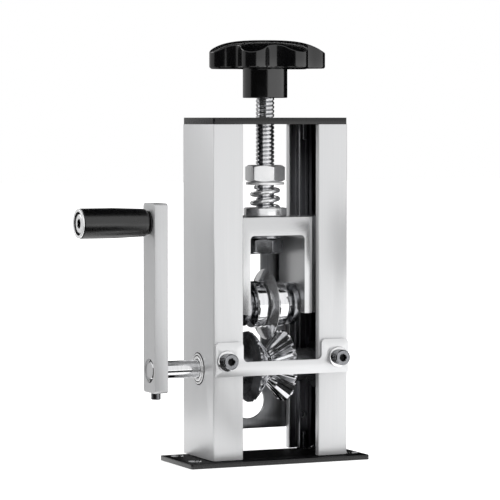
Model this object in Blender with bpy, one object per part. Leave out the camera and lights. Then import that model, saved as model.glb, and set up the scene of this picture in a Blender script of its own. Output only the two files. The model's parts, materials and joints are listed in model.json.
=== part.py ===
# Hand-cranked cable stripper: a channel frame, a cranked pair of grooved drive wheels
# and a round blade that a sprung screw presses down into their groove.
# Metres, +Z up, front at -Y, crank at -X. The origin lies under the screw, on the bench.

import math

import bmesh
import bpy
from mathutils import Euler, Matrix, Vector

mm = 0.001
full_turn = 2 * math.pi
quarter_turn = math.pi / 2

# Clearances shared by all pieces
seat = 0.3 * mm            # between faces that rest on each other
fit = 0.3 * mm             # radial room of a pin or screw in its hole
slide_fit = 0.4 * mm       # room of the sliding block in the channels
overrun = 2 * mm           # how far a cutter runs past the faces it cuts
hair = 0.35 * mm           # broken edges of machined pieces
merge = 0.004 * mm         # points nearer than this are one
round_steps = 20
fine_steps = 30
small_steps = 10
arc_steps = 3

# Frame
frame_width = 80 * mm
frame_depth = 42.2 * mm
channel_flange = 17.5 * mm
channel_wall = 4 * mm
upright_height = 181.2 * mm
port_wall = 1.3 * mm       # ribs that hold the frame screws
port_depth = 4.8 * mm
top_inset = 0.2 * mm
top_thickness = 3.3 * mm
plate_corner = 1.2 * mm

# Base plate
base_thickness = 2.5 * mm
base_left = 15 * mm        # reach past the left upright
base_right = 11 * mm
base_front = 5.5 * mm      # reach past the uprights' front faces
base_back = -3.1 * mm      # the uprights stand past the back edge
base_hole_radius = 2.3 * mm
base_hole_left = 7.3 * mm  # hole centres from the plate's own edges
base_hole_right = 4.5 * mm
base_hole_front = 13 * mm
base_hole_back = 6.5 * mm

# Frame screws
frame_screw_radius = 2 * mm
frame_screw_length = 12.5 * mm
frame_screw_head = 3.7 * mm
frame_screw_cone = 1.8 * mm
frame_screw_sink = 0.1 * mm
frame_screw_web = 9.5 * mm  # screw axis from the upright's outer face

# Drive shaft and its bearings
shaft_height = 51.2 * mm
shaft_radius = 4.9 * mm
shaft_chamfer = 0.6 * mm
shaft_tail = 2 * mm         # shaft left outside the right bush
housing_radius = 13 * mm
housing_flange = 6 * mm
housing_barrel = 8.6 * mm
housing_proud = 0.5 * mm
housing_screw_circle = 10.8 * mm
housing_screw_radius = 1.1 * mm
housing_screw_head = 1.7 * mm
housing_screw_head_height = 0.8 * mm
housing_screw_length = 8 * mm
housing_screw_count = 4
bush_wall = 1.8 * mm
bush_proud = 0.4 * mm

# Drive wheels
wheel_radius = 19.5 * mm
wheel_root_radius = 9 * mm
wheel_rim_offset = 9.4 * mm  # rim's inner edge from the middle plane
wheel_rim_land = 1.2 * mm
wheel_back_radius = 14.6 * mm
wheel_back_offset = 13.4 * mm
wheel_hub_radius = 9.2 * mm
wheel_teeth = 28
tooth_depth = 1.3 * mm
tooth_root_share = 0.3
wheel_screw_radius = 1.6 * mm
wheel_screw_inset = 8.4 * mm  # grub screw from the hub's end

# Blade, rollers and their axle
roller_gap = 1.75 * mm         # rollers over the wheels' rims, at rest
axle_radius = 4 * mm
axle_end_room = 2.5 * mm     # axle end to the channel's web
blade_radius = 19.4 * mm
blade_half_thickness = 2.2 * mm
blade_bevel_radius = 13.4 * mm
blade_edge = 0.1 * mm
roller_radius = 12.85 * mm
roller_inner = 2.8 * mm
roller_round = 1.1 * mm
spacer_radius = 8.2 * mm
spacer_collar_radius = 11.6 * mm
spacer_collar_length = 3.2 * mm
spacer_length = 6.1 * mm

# Sliding block
slider_side_room = 1.7 * mm    # block's side to the channels' mouths
slider_height = 52.8 * mm
slider_below_axle = 4.5 * mm
slider_roof = 10 * mm
slider_leg = 4.6 * mm
slider_window_round = 2.3 * mm
tongue_port_room = 0.5 * mm

# Screw, nuts, washers and spring
screw_radius = 5 * mm
screw_tail = 3 * mm            # screw left under the lower nut
screw_chamfer = 0.8 * mm
screw_in_knob = 17 * mm
lower_washer_radius = 10 * mm
lower_washer_thickness = 1.6 * mm
lower_nut_flats = 17 * mm
lower_nut_height = 8 * mm
upper_nut_flats = 19 * mm
upper_nut_height = 9 * mm
nut_turn = math.radians(32)
nut_crown_share = 0.96       # flat end face over the width across flats
nut_crown_angle = math.radians(30)
top_washer_radius = 10.6 * mm
top_washer_thickness = 1.4 * mm
collar_radius = 11.8 * mm
collar_height = 4.4 * mm     # a cup that holds the spring's lower end
collar_wall = 2.4 * mm
collar_floor = 1 * mm
spring_radius = 8.35 * mm    # outside radius
spring_wire = 2.3 * mm
spring_turns = 2.9
spring_start = math.radians(150)
spring_free = 15.4 * mm
spring_swing_share = 0.12    # how much the pitch closes up at the ends
spring_turn_points = 10

# Knob
knob_radius = 32.8 * mm
knob_tip_radius = 7.6 * mm   # outline of each lobe
knob_valley_radius = 6.8 * mm
knob_lobes = 7
knob_hub_radius = 12.2 * mm
knob_over_plate = 10.8 * mm  # hub's end over the top plate, at rest
knob_hub_length = 16 * mm
knob_lobe_height = 8.5 * mm   # at the tips of the lobes
knob_dome = 6.8 * mm
knob_dome_power = 3.6         # how late the dome falls away towards the rim
knob_edge = 1 * mm
knob_angle = math.radians(26.8)
knob_tip_steps = 7
knob_valley_steps = 5
knob_dome_shares = (0.82, 0.6, 0.35)

# Front guide plate and its screws
guide_inset = 0.5 * mm         # plate's end to the frame's side
guide_thickness = 2 * mm
guide_below_shaft = 2.8 * mm
guide_bar_height = 7.6 * mm
guide_lug_height = 18.5 * mm
guide_lug_width = 16.2 * mm
guide_round = 2.5 * mm
guide_screw_inset = 6.3 * mm   # screw axis from the plate's end
guide_screw_rise = 8.6 * mm    # and from its lower edge
guide_screw_radius = 2.5 * mm
guide_screw_length = 11 * mm
guide_head_radius = 4.25 * mm
guide_head_height = 5 * mm
guide_socket_radius = 2.35 * mm
guide_socket_depth = 2.6 * mm
guide_washer_radius = 5.6 * mm
guide_washer_thickness = 1 * mm

# Back guide plate and its screws
back_inset = 4 * mm
back_thickness = 2 * mm
back_bottom = 14.4 * mm
back_height = 113.6 * mm
back_corner = 2 * mm
slot_half_width = 7.6 * mm
slot_end = 16.4 * mm         # slot's end under the plate's top
slot_hole_radius = 9.6 * mm
slot_hole_rise = 15.2 * mm   # round hole over the plate's bottom
back_screw_inset = 7 * mm
back_screw_radius = 1.7 * mm
back_screw_head = 3.6 * mm
back_screw_head_height = 2 * mm
back_screw_length = 6.6 * mm

# Crank and grip
arm_gap = 20.9 * mm          # frame's side to the arm
arm_thickness = 7.8 * mm
arm_depth = 16.4 * mm
arm_over_grip = 10.4 * mm    # arm's end past the grip's axis
arm_under_shaft = 12 * mm
arm_corner = 1.8 * mm
arm_recess_radius = 6 * mm
arm_recess_depth = 0.8 * mm
arm_screw_radius = 2.6 * mm
arm_screw_out = 3.8 * mm
crank_throw = 80 * mm        # shaft's axis to the grip's
grip_length = 40.7 * mm      # arm's outer face to the grip's end
grip_radius = 8.1 * mm
grip_arm_radius = 7.4 * mm
grip_round = 1.6 * mm
grip_counterbore_radius = 6.3 * mm
grip_counterbore_depth = 4.6 * mm
grip_ring_radius = 7.9 * mm
grip_ring_thickness = 0.9 * mm
grip_washer_radius = 6.4 * mm
grip_washer_thickness = 1 * mm
bolt_radius = 3 * mm
bolt_head_radius = 5.6 * mm
bolt_head_height = 3.8 * mm
bolt_socket_radius = 2.6 * mm
bolt_socket_depth = 2.2 * mm

# Places worked out from the sizes above
half_width = frame_width / 2
half_depth = frame_depth / 2
channel_mouth = half_width - channel_flange
web_inner = half_width - channel_wall
flange_inner = half_depth - channel_wall
upright_bottom = base_thickness + seat
upright_top = upright_bottom + upright_height
top_bottom = upright_top + seat
top_top = top_bottom + top_thickness
port_middle = half_width - frame_screw_web
port_half = frame_screw_radius + fit
port_edge = flange_inner - port_depth
frame_screw_depth = flange_inner - fit - frame_screw_radius
housing_inner = web_inner - seat - housing_flange
housing_outer = half_width + housing_proud
housing_bore = shaft_radius + fit + bush_wall + fit
hub_end = housing_inner - seat
wheel_screw_offset = hub_end - wheel_screw_inset
shaft_right = housing_outer + bush_proud + shaft_tail
axle_height = shaft_height + wheel_radius + roller_gap + roller_radius
slider_half_width = channel_mouth - slider_side_room
slider_bottom = axle_height - slider_below_axle
slider_top = slider_bottom + slider_height
guide_half_width = half_width - guide_inset
guide_bottom = shaft_height - guide_below_shaft
guide_front = half_depth + seat + guide_thickness
guide_screw_x = guide_half_width - guide_screw_inset
guide_screw_z = guide_bottom + guide_screw_rise
guide_washer_back = guide_front + seat
guide_head_back = guide_washer_back + guide_washer_thickness + seat
back_half_width = half_width - back_inset
back_top = back_bottom + back_height
slot_top = back_top - slot_end
slot_hole_height = back_bottom + slot_hole_rise
back_face = half_depth + seat + back_thickness
back_head_face = back_face + seat
collar_bottom = slider_top + seat
spring_bottom = collar_bottom + collar_floor + seat
spring_top = spring_bottom + spring_free
top_washer_bottom = spring_top + seat
top_washer_top = top_washer_bottom + top_washer_thickness
upper_nut_bottom = top_washer_top + seat
window_top = slider_top - slider_roof
window_half = slider_half_width - slider_leg
roller_outer = window_half - seat - spacer_length - seat
lower_washer_bottom = window_top - seat - lower_washer_thickness
lower_nut_bottom = lower_washer_bottom - seat - lower_nut_height
screw_bottom = lower_nut_bottom - screw_tail
knob_hub_bottom = top_top + knob_over_plate
screw_top = knob_hub_bottom + screw_in_knob
screw_hole = screw_radius + fit
axle_end = web_inner - axle_end_room
axle_hole = axle_radius + fit
arm_inner = half_width + arm_gap
arm_outer = arm_inner + arm_thickness
grip_height = shaft_height + crank_throw
grip_end = arm_outer + grip_length
arm_top = grip_height + arm_over_grip
arm_bottom = shaft_height - arm_under_shaft


def clear_scene():
    for item in list(bpy.data.objects):
        bpy.data.objects.remove(item, do_unlink=True)


def make_material(name, colour, metallic, roughness):
    material = bpy.data.materials.new(name)
    material.use_nodes = True
    shader = material.node_tree.nodes["Principled BSDF"]
    shader.inputs["Base Color"].default_value = (*colour, 1)
    shader.inputs["Metallic"].default_value = metallic
    shader.inputs["Roughness"].default_value = roughness
    return material


def add_object(name, mesh, material, place=(0, 0, 0), turn=(0, 0, 0), parent=None):
    item = bpy.data.objects.new(name, mesh)
    bpy.context.scene.collection.objects.link(item)
    item.rotation_euler = turn
    item.location = Vector(place) - parent.location if parent else place
    item.parent = parent
    if not mesh.materials:
        mesh.materials.append(material)
    return item


def add_pivot(name, place):
    pivot = bpy.data.objects.new(name, None)
    bpy.context.scene.collection.objects.link(pivot)
    pivot.location = place
    return pivot


def finish_mesh(shape, name, smooth=False):
    bmesh.ops.recalc_face_normals(shape, faces=shape.faces)
    mesh = bpy.data.meshes.new(name)
    shape.to_mesh(mesh)
    shape.free()
    if smooth:
        mesh.shade_smooth()
        mesh.set_sharp_from_angle(angle=math.radians(35))
    return mesh


def settle(shape, made, place, turn):
    pose = Matrix.Translation(Vector(place)) @ Euler(turn).to_matrix().to_4x4()
    bmesh.ops.transform(shape, matrix=pose, verts=made)


def revolve(shape, profile, steps=round_steps, place=(0, 0, 0), turn=(0, 0, 0), closed=False):
    # Spins (radius, height) points about Z; a closed profile makes a ring.
    old = set(shape.verts)
    points = [shape.verts.new((radius, 0, height)) for radius, height in profile]
    edges = [shape.edges.new(pair) for pair in zip(points, points[1:])]
    if closed:
        edges.append(shape.edges.new((points[-1], points[0])))
    bmesh.ops.spin(shape, geom=points + edges, cent=(0, 0, 0), axis=(0, 0, 1),
                   angle=full_turn, steps=steps, use_merge=True)
    made = [vert for vert in shape.verts if vert not in old]
    bmesh.ops.remove_doubles(shape, verts=made, dist=merge)
    made = [vert for vert in shape.verts if vert not in old]
    settle(shape, made, place, turn)


def revolved(name, profile, steps=round_steps, closed=False):
    shape = bmesh.new()
    revolve(shape, profile, steps, closed=closed)
    return finish_mesh(shape, name, smooth=True)


def ring_profile(inner, outer, bottom, top, edge=hair):
    return [(inner, bottom), (outer - edge, bottom), (outer, bottom + edge),
            (outer, top - edge), (outer - edge, top), (inner, top)]


def rod_profile(radius, bottom, top, edge=hair):
    return [(0, bottom), (radius - edge, bottom), (radius, bottom + edge),
            (radius, top - edge), (radius - edge, top), (0, top)]


def arc(centre, radius, start, end, steps=arc_steps):
    # Points from one angle to another, in degrees, both ends included.
    angles = [math.radians(start + (end - start) * step / steps) for step in range(steps + 1)]
    return [(centre[0] + radius * math.cos(a), centre[1] + radius * math.sin(a)) for a in angles]


def rounded_box(left, right, low, high, radius):
    points = arc((right - radius, low + radius), radius, -90, 0)
    points += arc((right - radius, high - radius), radius, 0, 90)
    points += arc((left + radius, high - radius), radius, 90, 180)
    return points + arc((left + radius, low + radius), radius, 180, 270)


def extrude(shape, outline, low, high, upright=False):
    # Extrudes an outline along Z, or along Y where it stands upright in X and Z.
    old = set(shape.verts)
    face = shape.faces.new([shape.verts.new((x, y, low)) for x, y in outline])
    grown = bmesh.ops.extrude_face_region(shape, geom=[face])
    raised = [part for part in grown["geom"] if isinstance(part, bmesh.types.BMVert)]
    bmesh.ops.translate(shape, vec=(0, 0, high - low), verts=raised)
    made = [vert for vert in shape.verts if vert not in old]
    if upright:
        settle(shape, made, (0, 0, 0), (quarter_turn, 0, 0))


def extruded(name, outline, low, high, upright=False):
    shape = bmesh.new()
    extrude(shape, outline, low, high, upright)
    return finish_mesh(shape, name)


def break_edges(item, width=hair):
    bevel = item.modifiers.new("broken edges", "BEVEL")
    bevel.width = width
    bevel.segments = 1
    bevel.limit_method = "ANGLE"


def cut(item, shape, operation="DIFFERENCE"):
    # The cutter is drawn from the item's own place, without its turn, and moves with it.
    name = item.name + "_cutter"
    cutter = bpy.data.objects.new(name, finish_mesh(shape, name))
    bpy.context.scene.collection.objects.link(cutter)
    cutter.parent = item.parent
    cutter.location = item.location
    cutter.display_type = "WIRE"
    cutter.hide_render = True
    boolean = item.modifiers.new("cut", "BOOLEAN")
    boolean.operation = operation
    boolean.solver = "EXACT"
    boolean.object = cutter


def plain_rod(shape, radius, start, end, steps=round_steps):
    # A straight cylinder between two points, for holes.
    start = Vector(start)
    run = Vector(end) - start
    turn = run.to_track_quat("Z", "Y").to_euler()
    profile = [(0, 0), (radius, 0), (radius, run.length), (0, run.length)]
    revolve(shape, profile, steps, start, turn)


def frame_screw_places():
    return [(side * port_middle, end * frame_screw_depth) for side in (-1, 1) for end in (-1, 1)]


def countersunk_profile(sink):
    # Head down at zero height, shank up.
    cone = sink + frame_screw_cone
    return [(0, sink), (frame_screw_head, sink), (frame_screw_radius, cone),
            (frame_screw_radius, frame_screw_length - hair),
            (frame_screw_radius - hair, frame_screw_length), (0, frame_screw_length)]


def countersunk_hole():
    head = frame_screw_head + fit
    hole = frame_screw_radius + fit
    return [(0, -overrun), (head, -overrun), (head, frame_screw_sink),
            (hole, frame_screw_sink + frame_screw_cone), (hole, frame_screw_length),
            (0, frame_screw_length)]


def make_frame_plates(black, steel):
    left = -half_width - base_left
    right = half_width + base_right
    front = -half_depth - base_front
    back = half_depth + base_back
    outline = rounded_box(left, right, front, back, plate_corner)
    base = add_object("base_plate", extruded("base_plate", outline, 0, base_thickness), black)
    holes = bmesh.new()
    for x in (left + base_hole_left, right - base_hole_right):
        for y in (front + base_hole_front, back - base_hole_back):
            plain_rod(holes, base_hole_radius, (x, y, -overrun), (x, y, base_thickness + overrun))
    for x, y in frame_screw_places():
        revolve(holes, countersunk_hole(), small_steps, (x, y, 0))
    cut(base, holes)

    reach = half_width - top_inset
    depth = half_depth - top_inset
    outline = rounded_box(-reach, reach, -depth, depth, plate_corner)
    top = add_object("top_plate", extruded("top_plate", outline, top_bottom, top_top), black)
    holes = bmesh.new()
    for x, y in frame_screw_places():
        revolve(holes, countersunk_hole(), small_steps, (x, y, top_top), (math.pi, 0, 0))
    plain_rod(holes, screw_hole, (0, 0, top_bottom - overrun), (0, 0, top_top + overrun))
    cut(top, holes)

    screw = revolved("frame_screw", countersunk_profile(frame_screw_sink), small_steps)
    for number, (x, y) in enumerate(frame_screw_places(), 1):
        add_object("base_plate_screw_%d" % number, screw, steel, (x, y, 0))
        add_object("top_plate_screw_%d" % number, screw, steel, (x, y, top_top), (math.pi, 0, 0))


def channel_outline(side):
    # One screw port stands on each flange, open towards the middle of the channel.
    port = [(-port_half - port_wall, 0), (-port_half - port_wall, port_depth),
            (-port_half, port_depth), (-port_half, 0),
            (port_half, 0), (port_half, port_depth),
            (port_half + port_wall, port_depth), (port_half + port_wall, 0)]
    back = [(port_middle + x, flange_inner - y) for x, y in port]
    inner = [(channel_mouth, flange_inner)] + back + [(web_inner, flange_inner)]
    back_half = [(half_width, half_depth), (channel_mouth, half_depth)] + inner
    front_half = [(x, -y) for x, y in reversed(back_half)]
    return [(side * x, y) for x, y in back_half + front_half]


def make_uprights(aluminium):
    for name, side in (("left_upright", -1), ("right_upright", 1)):
        mesh = extruded(name, channel_outline(side), upright_bottom, upright_top)
        upright = add_object(name, mesh, aluminium)
        break_edges(upright)
        pocket = bmesh.new()
        start = (side * (channel_mouth - overrun), 0, shaft_height)
        end = (side * (port_middle + port_half + port_wall + fit), 0, shaft_height)
        plain_rod(pocket, housing_radius + slide_fit, start, end)
        cut(upright, pocket)
        holes = bmesh.new()
        start = (side * (web_inner - overrun), 0, shaft_height)
        end = (side * (half_width + overrun), 0, shaft_height)
        plain_rod(holes, housing_barrel + fit, start, end)
        for y, z in housing_screw_places():
            start = (side * (web_inner - overrun), y, z)
            end = (side * (housing_inner + housing_screw_length + fit), y, z)
            plain_rod(holes, housing_screw_radius + fit, start, end, small_steps)
        start = (side * guide_screw_x, -half_depth - overrun, guide_screw_z)
        end = (side * guide_screw_x, -port_edge + overrun, guide_screw_z)
        plain_rod(holes, guide_screw_radius + fit, start, end)
        for z in back_screw_heights():
            start = (side * port_middle, flange_inner - fit, z)
            end = (side * port_middle, half_depth + overrun, z)
            plain_rod(holes, back_screw_radius + fit, start, end, small_steps)
        cut(upright, holes)


def housing_screw_places():
    places = []
    for number in range(housing_screw_count):
        angle = full_turn * (number + 0.5) / housing_screw_count
        places.append((housing_screw_circle * math.cos(angle),
                       shaft_height + housing_screw_circle * math.sin(angle)))
    return places


def make_bearings(steel, bronze, screw_steel):
    # Heights run outwards from the middle plane along the shaft.
    housing = [(housing_bore, housing_inner), (housing_radius - hair, housing_inner),
               (housing_radius, housing_inner + hair), (housing_radius, web_inner - seat),
               (housing_barrel, web_inner - seat), (housing_barrel, housing_outer - hair),
               (housing_barrel - hair, housing_outer), (housing_bore, housing_outer)]
    bush = ring_profile(shaft_radius + fit, housing_bore - fit,
                        housing_inner + fit, housing_outer + bush_proud)
    head = housing_inner - seat - housing_screw_head_height
    tip = housing_inner + housing_screw_length
    profile = [(0, head), (housing_screw_head, head), (housing_screw_head, housing_inner - seat),
               (housing_screw_radius, housing_inner - seat), (housing_screw_radius, tip), (0, tip)]
    screw = revolved("housing_screw", profile, small_steps)
    for word, side in (("left", -1), ("right", 1)):
        name = word + "_bearing_housing"
        turn = (0, side * quarter_turn, 0)
        place = (0, 0, shaft_height)
        item = add_object(name, revolved(name, housing, fine_steps, closed=True), steel, place, turn)
        holes = bmesh.new()
        for y, z in housing_screw_places():
            radius = housing_screw_radius + fit
            start = (side * (housing_inner - overrun), y, z - shaft_height)
            end = (side * web_inner, y, z - shaft_height)
            plain_rod(holes, radius, start, end, small_steps)
        cut(item, holes)
        name = word + "_shaft_bush"
        add_object(name, revolved(name, bush, closed=True), bronze, place, turn)
        for number, (y, z) in enumerate(housing_screw_places(), 1):
            add_object("%s_housing_screw_%d" % (word, number), screw, screw_steel, (0, y, z), turn)


def wheel_mesh(name):
    # Rings of (radius, height, depth of the valleys between the teeth).
    run = Vector((wheel_radius - wheel_root_radius, wheel_rim_offset)).normalized()
    rings = [(shaft_radius + fit, seat / 2, 0),
             (wheel_root_radius, seat / 2, tooth_depth * tooth_root_share),
             (wheel_radius, wheel_rim_offset, tooth_depth),
             (wheel_radius, wheel_rim_offset + wheel_rim_land, 0),
             (wheel_back_radius, wheel_back_offset, 0),
             (wheel_hub_radius, wheel_back_offset, 0),
             (wheel_hub_radius, hub_end - hair, 0),
             (wheel_hub_radius - hair, hub_end, 0),
             (shaft_radius + fit, hub_end, 0)]
    shape = bmesh.new()
    steps = 2 * wheel_teeth
    loops = []
    for radius, height, depth in rings:
        loop = []
        for step in range(steps):
            valley = depth * (step % 2)
            angle = full_turn * step / steps
            reach = radius - valley * run.y
            lift = height + valley * run.x
            loop.append(shape.verts.new((reach * math.cos(angle), reach * math.sin(angle), lift)))
        loops.append(loop)
    for near, far in zip(loops, loops[1:] + loops[:1]):
        for step in range(steps):
            after = (step + 1) % steps
            shape.faces.new((near[step], near[after], far[after], far[step]))
    return finish_mesh(shape, name, smooth=True)


def make_drive(shaft_steel, wheel_steel, screw_steel, pivot):
    left = -arm_outer + arm_recess_depth / 2
    profile = rod_profile(shaft_radius, left, shaft_right, shaft_chamfer)
    turn = (0, quarter_turn, 0)
    place = (0, 0, shaft_height)
    mesh = revolved("drive_shaft", profile)
    add_object("drive_shaft", mesh, shaft_steel, place, turn, pivot)
    shank = [(0, shaft_radius + seat), (wheel_screw_radius, shaft_radius + seat),
             (wheel_screw_radius, wheel_hub_radius - fit), (0, wheel_hub_radius - fit)]
    screw = revolved("wheel_grub_screw", shank, small_steps)
    for word, side in (("left", -1), ("right", 1)):
        name = word + "_drive_wheel"
        turn = (0, side * quarter_turn, 0)
        wheel = add_object(name, wheel_mesh(name), wheel_steel, place, turn, pivot)
        x = side * wheel_screw_offset
        hole = bmesh.new()
        outside = (x, -wheel_hub_radius - overrun, 0)
        plain_rod(hole, wheel_screw_radius + fit, (x, 0, 0), outside, small_steps)
        cut(wheel, hole)
        add_object(word + "_wheel_screw", screw, screw_steel, (x, 0, shaft_height),
                   (quarter_turn, 0, 0), pivot)


def make_crank(aluminium, black, chrome, washer_black, pivot, grip_pivot):
    low = arm_bottom - shaft_height
    high = arm_top - shaft_height
    outline = rounded_box(-arm_depth / 2, arm_depth / 2, low, high, arm_corner)
    mesh = extruded("crank_arm", outline, arm_inner, arm_outer, upright=True)
    arm = add_object("crank_arm", mesh, aluminium, (0, 0, shaft_height),
                     (0, 0, -quarter_turn), pivot)
    break_edges(arm)
    holes = bmesh.new()
    inside = -arm_inner + overrun
    outside = -arm_outer - overrun
    plain_rod(holes, shaft_radius + fit, (inside, 0, 0), (outside, 0, 0))
    rise = grip_height - shaft_height
    plain_rod(holes, bolt_radius + fit, (inside, 0, rise), (outside, 0, rise), small_steps)
    cut(arm, holes)
    recess = bmesh.new()
    plain_rod(recess, arm_recess_radius, (-arm_outer + arm_recess_depth, 0, 0), (outside, 0, 0))
    middle = -(arm_outer + arm_inner) / 2
    start = (middle, 0, low - overrun)
    plain_rod(recess, arm_screw_radius + fit, start, (middle, 0, 0), small_steps)
    cut(arm, recess)

    tip = -shaft_radius - seat
    profile = rod_profile(arm_screw_radius, low - arm_screw_out, tip)
    mesh = revolved("arm_clamp_screw", profile, small_steps)
    add_object("arm_clamp_screw", mesh, chrome, (middle, 0, shaft_height), parent=pivot)

    # Grip sizes run outwards from the arm's outer face.
    turn = (0, -quarter_turn, 0)
    place = (-arm_outer, 0, grip_height)
    start = seat + grip_washer_thickness + seat
    ring_top = grip_end - arm_outer
    end = ring_top - grip_ring_thickness - seat
    floor = ring_top - grip_counterbore_depth
    bore = bolt_radius + fit
    grip = [(bore, start)]
    grip += arc((grip_arm_radius - grip_round, start + grip_round), grip_round, -90, 0)
    grip += [(grip_radius, (start + end) / 2), (grip_radius, end),
             (grip_counterbore_radius, end), (grip_counterbore_radius, floor), (bore, floor)]
    mesh = revolved("grip", grip, fine_steps, closed=True)
    add_object("grip", mesh, black, place, turn, grip_pivot)
    ring = ring_profile(grip_counterbore_radius, grip_ring_radius,
                        ring_top - grip_ring_thickness, ring_top)
    mesh = revolved("grip_end_ring", ring, fine_steps, closed=True)
    add_object("grip_end_ring", mesh, chrome, place, turn, grip_pivot)
    washer = ring_profile(bore, grip_washer_radius, seat, seat + grip_washer_thickness)
    mesh = revolved("grip_washer", washer, closed=True)
    add_object("grip_washer", mesh, washer_black, place, turn, pivot)
    head_top = floor + seat + bolt_head_height
    socket_floor = head_top - bolt_socket_depth
    bolt = [(0, -arm_thickness), (bolt_radius, -arm_thickness), (bolt_radius, floor + seat),
            (bolt_head_radius, floor + seat), (bolt_head_radius, head_top - 2 * hair),
            (bolt_head_radius - 2 * hair, head_top), (bolt_socket_radius, head_top),
            (bolt_socket_radius, socket_floor), (0, socket_floor)]
    mesh = revolved("grip_bolt", bolt)
    add_object("grip_bolt", mesh, chrome, place, turn, pivot)


def make_guides(aluminium, plate_steel, screw_steel):
    low = guide_bottom
    bar = low + guide_bar_height
    high = low + guide_lug_height
    edge = guide_half_width - guide_lug_width
    half = [(guide_half_width, low)]
    half += arc((guide_half_width - guide_round, high - guide_round), guide_round, 0, 90)
    half += arc((edge + guide_round, high - guide_round), guide_round, 90, 180)
    half += arc((edge - guide_round, bar + guide_round), guide_round, 0, -90)
    outline = half + [(-x, z) for x, z in reversed(half)]
    mesh = extruded("front_guide_bar", outline, half_depth + seat, guide_front, upright=True)
    bar_item = add_object("front_guide_bar", mesh, aluminium)
    holes = bmesh.new()
    face = guide_head_back + guide_head_height
    socket = face - guide_socket_depth
    tip = guide_head_back - guide_screw_length
    screw = [(0, tip), (guide_screw_radius, tip),
             (guide_screw_radius, guide_head_back), (guide_head_radius, guide_head_back),
             (guide_head_radius, face - hair), (guide_head_radius - hair, face),
             (guide_socket_radius, face), (guide_socket_radius, socket), (0, socket)]
    washer = ring_profile(guide_screw_radius + fit, guide_washer_radius, guide_washer_back,
                          guide_washer_back + guide_washer_thickness, hair / 2)
    screw = revolved("guide_screw", screw)
    washer = revolved("guide_washer", washer, closed=True)
    turn = (quarter_turn, 0, 0)
    for word, side in (("left", -1), ("right", 1)):
        place = (side * guide_screw_x, 0, guide_screw_z)
        start = (place[0], -half_depth, guide_screw_z)
        end = (place[0], -guide_front - overrun, guide_screw_z)
        plain_rod(holes, guide_screw_radius + fit, start, end)
        add_object(word + "_guide_screw", screw, screw_steel, place, turn)
        add_object(word + "_guide_washer", washer, screw_steel, place, turn)
    cut(bar_item, holes)

    outline = rounded_box(-back_half_width, back_half_width, back_bottom, back_top, back_corner)
    mesh = extruded("back_guide_plate", outline, -back_face, -half_depth - seat, upright=True)
    plate = add_object("back_guide_plate", mesh, plate_steel)
    lean = math.degrees(math.acos(slot_half_width / slot_hole_radius))
    slot = [(slot_half_width, slot_top), (-slot_half_width, slot_top)]
    slot += arc((0, slot_hole_height), slot_hole_radius, 180 - lean, 360 + lean, round_steps)
    holes = bmesh.new()
    extrude(holes, slot, -back_face - overrun, -half_depth, upright=True)
    head = back_screw_head
    screw = [(0, -back_screw_length), (back_screw_radius, -back_screw_length), (back_screw_radius, 0),
             (head, 0), (head, back_screw_head_height / 2),
             (head - back_screw_head_height / 2, back_screw_head_height), (0, back_screw_head_height)]
    screw = revolved("back_plate_screw", screw, small_steps)
    places = [(side * port_middle, z) for side in (-1, 1) for z in back_screw_heights()]
    for number, (x, z) in enumerate(places, 1):
        start = (x, half_depth, z)
        end = (x, back_face + overrun, z)
        plain_rod(holes, back_screw_radius + fit, start, end, small_steps)
        add_object("back_plate_screw_%d" % number, screw, screw_steel,
                   (x, back_head_face, z), (-quarter_turn, 0, 0))
    cut(plate, holes)


def back_screw_heights():
    return (back_bottom + back_screw_inset, back_top - back_screw_inset)


def make_slider(aluminium, pivot):
    body = flange_inner - slide_fit
    tongue = port_edge - tongue_port_room
    reach = web_inner - slide_fit
    right = [(slider_half_width, -body), (slider_half_width, -tongue), (reach, -tongue),
             (reach, tongue), (slider_half_width, tongue), (slider_half_width, body)]
    left = [(-x, -y) for x, y in right]
    shape = bmesh.new()
    extrude(shape, right + left, slider_bottom - slider_top, 0)
    block = add_object("slider_block", finish_mesh(shape, "slider_block"), aluminium,
                       (0, 0, slider_top), parent=pivot)
    break_edges(block)
    corner = slider_window_round
    low = slider_bottom - slider_top - overrun
    outline = [(-window_half, low), (window_half, low)]
    outline += arc((window_half - corner, -slider_roof - corner), corner, 0, 90)
    outline += arc((corner - window_half, -slider_roof - corner), corner, 90, 180)
    window = bmesh.new()
    extrude(window, outline, -half_depth, half_depth, upright=True)
    cut(block, window)
    holes = bmesh.new()
    level = axle_height - slider_top
    plain_rod(holes, axle_hole, (-half_width, 0, level), (half_width, 0, level))
    plain_rod(holes, screw_hole, (0, 0, -slider_roof - overrun), (0, 0, overrun))
    cut(block, holes)


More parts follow.
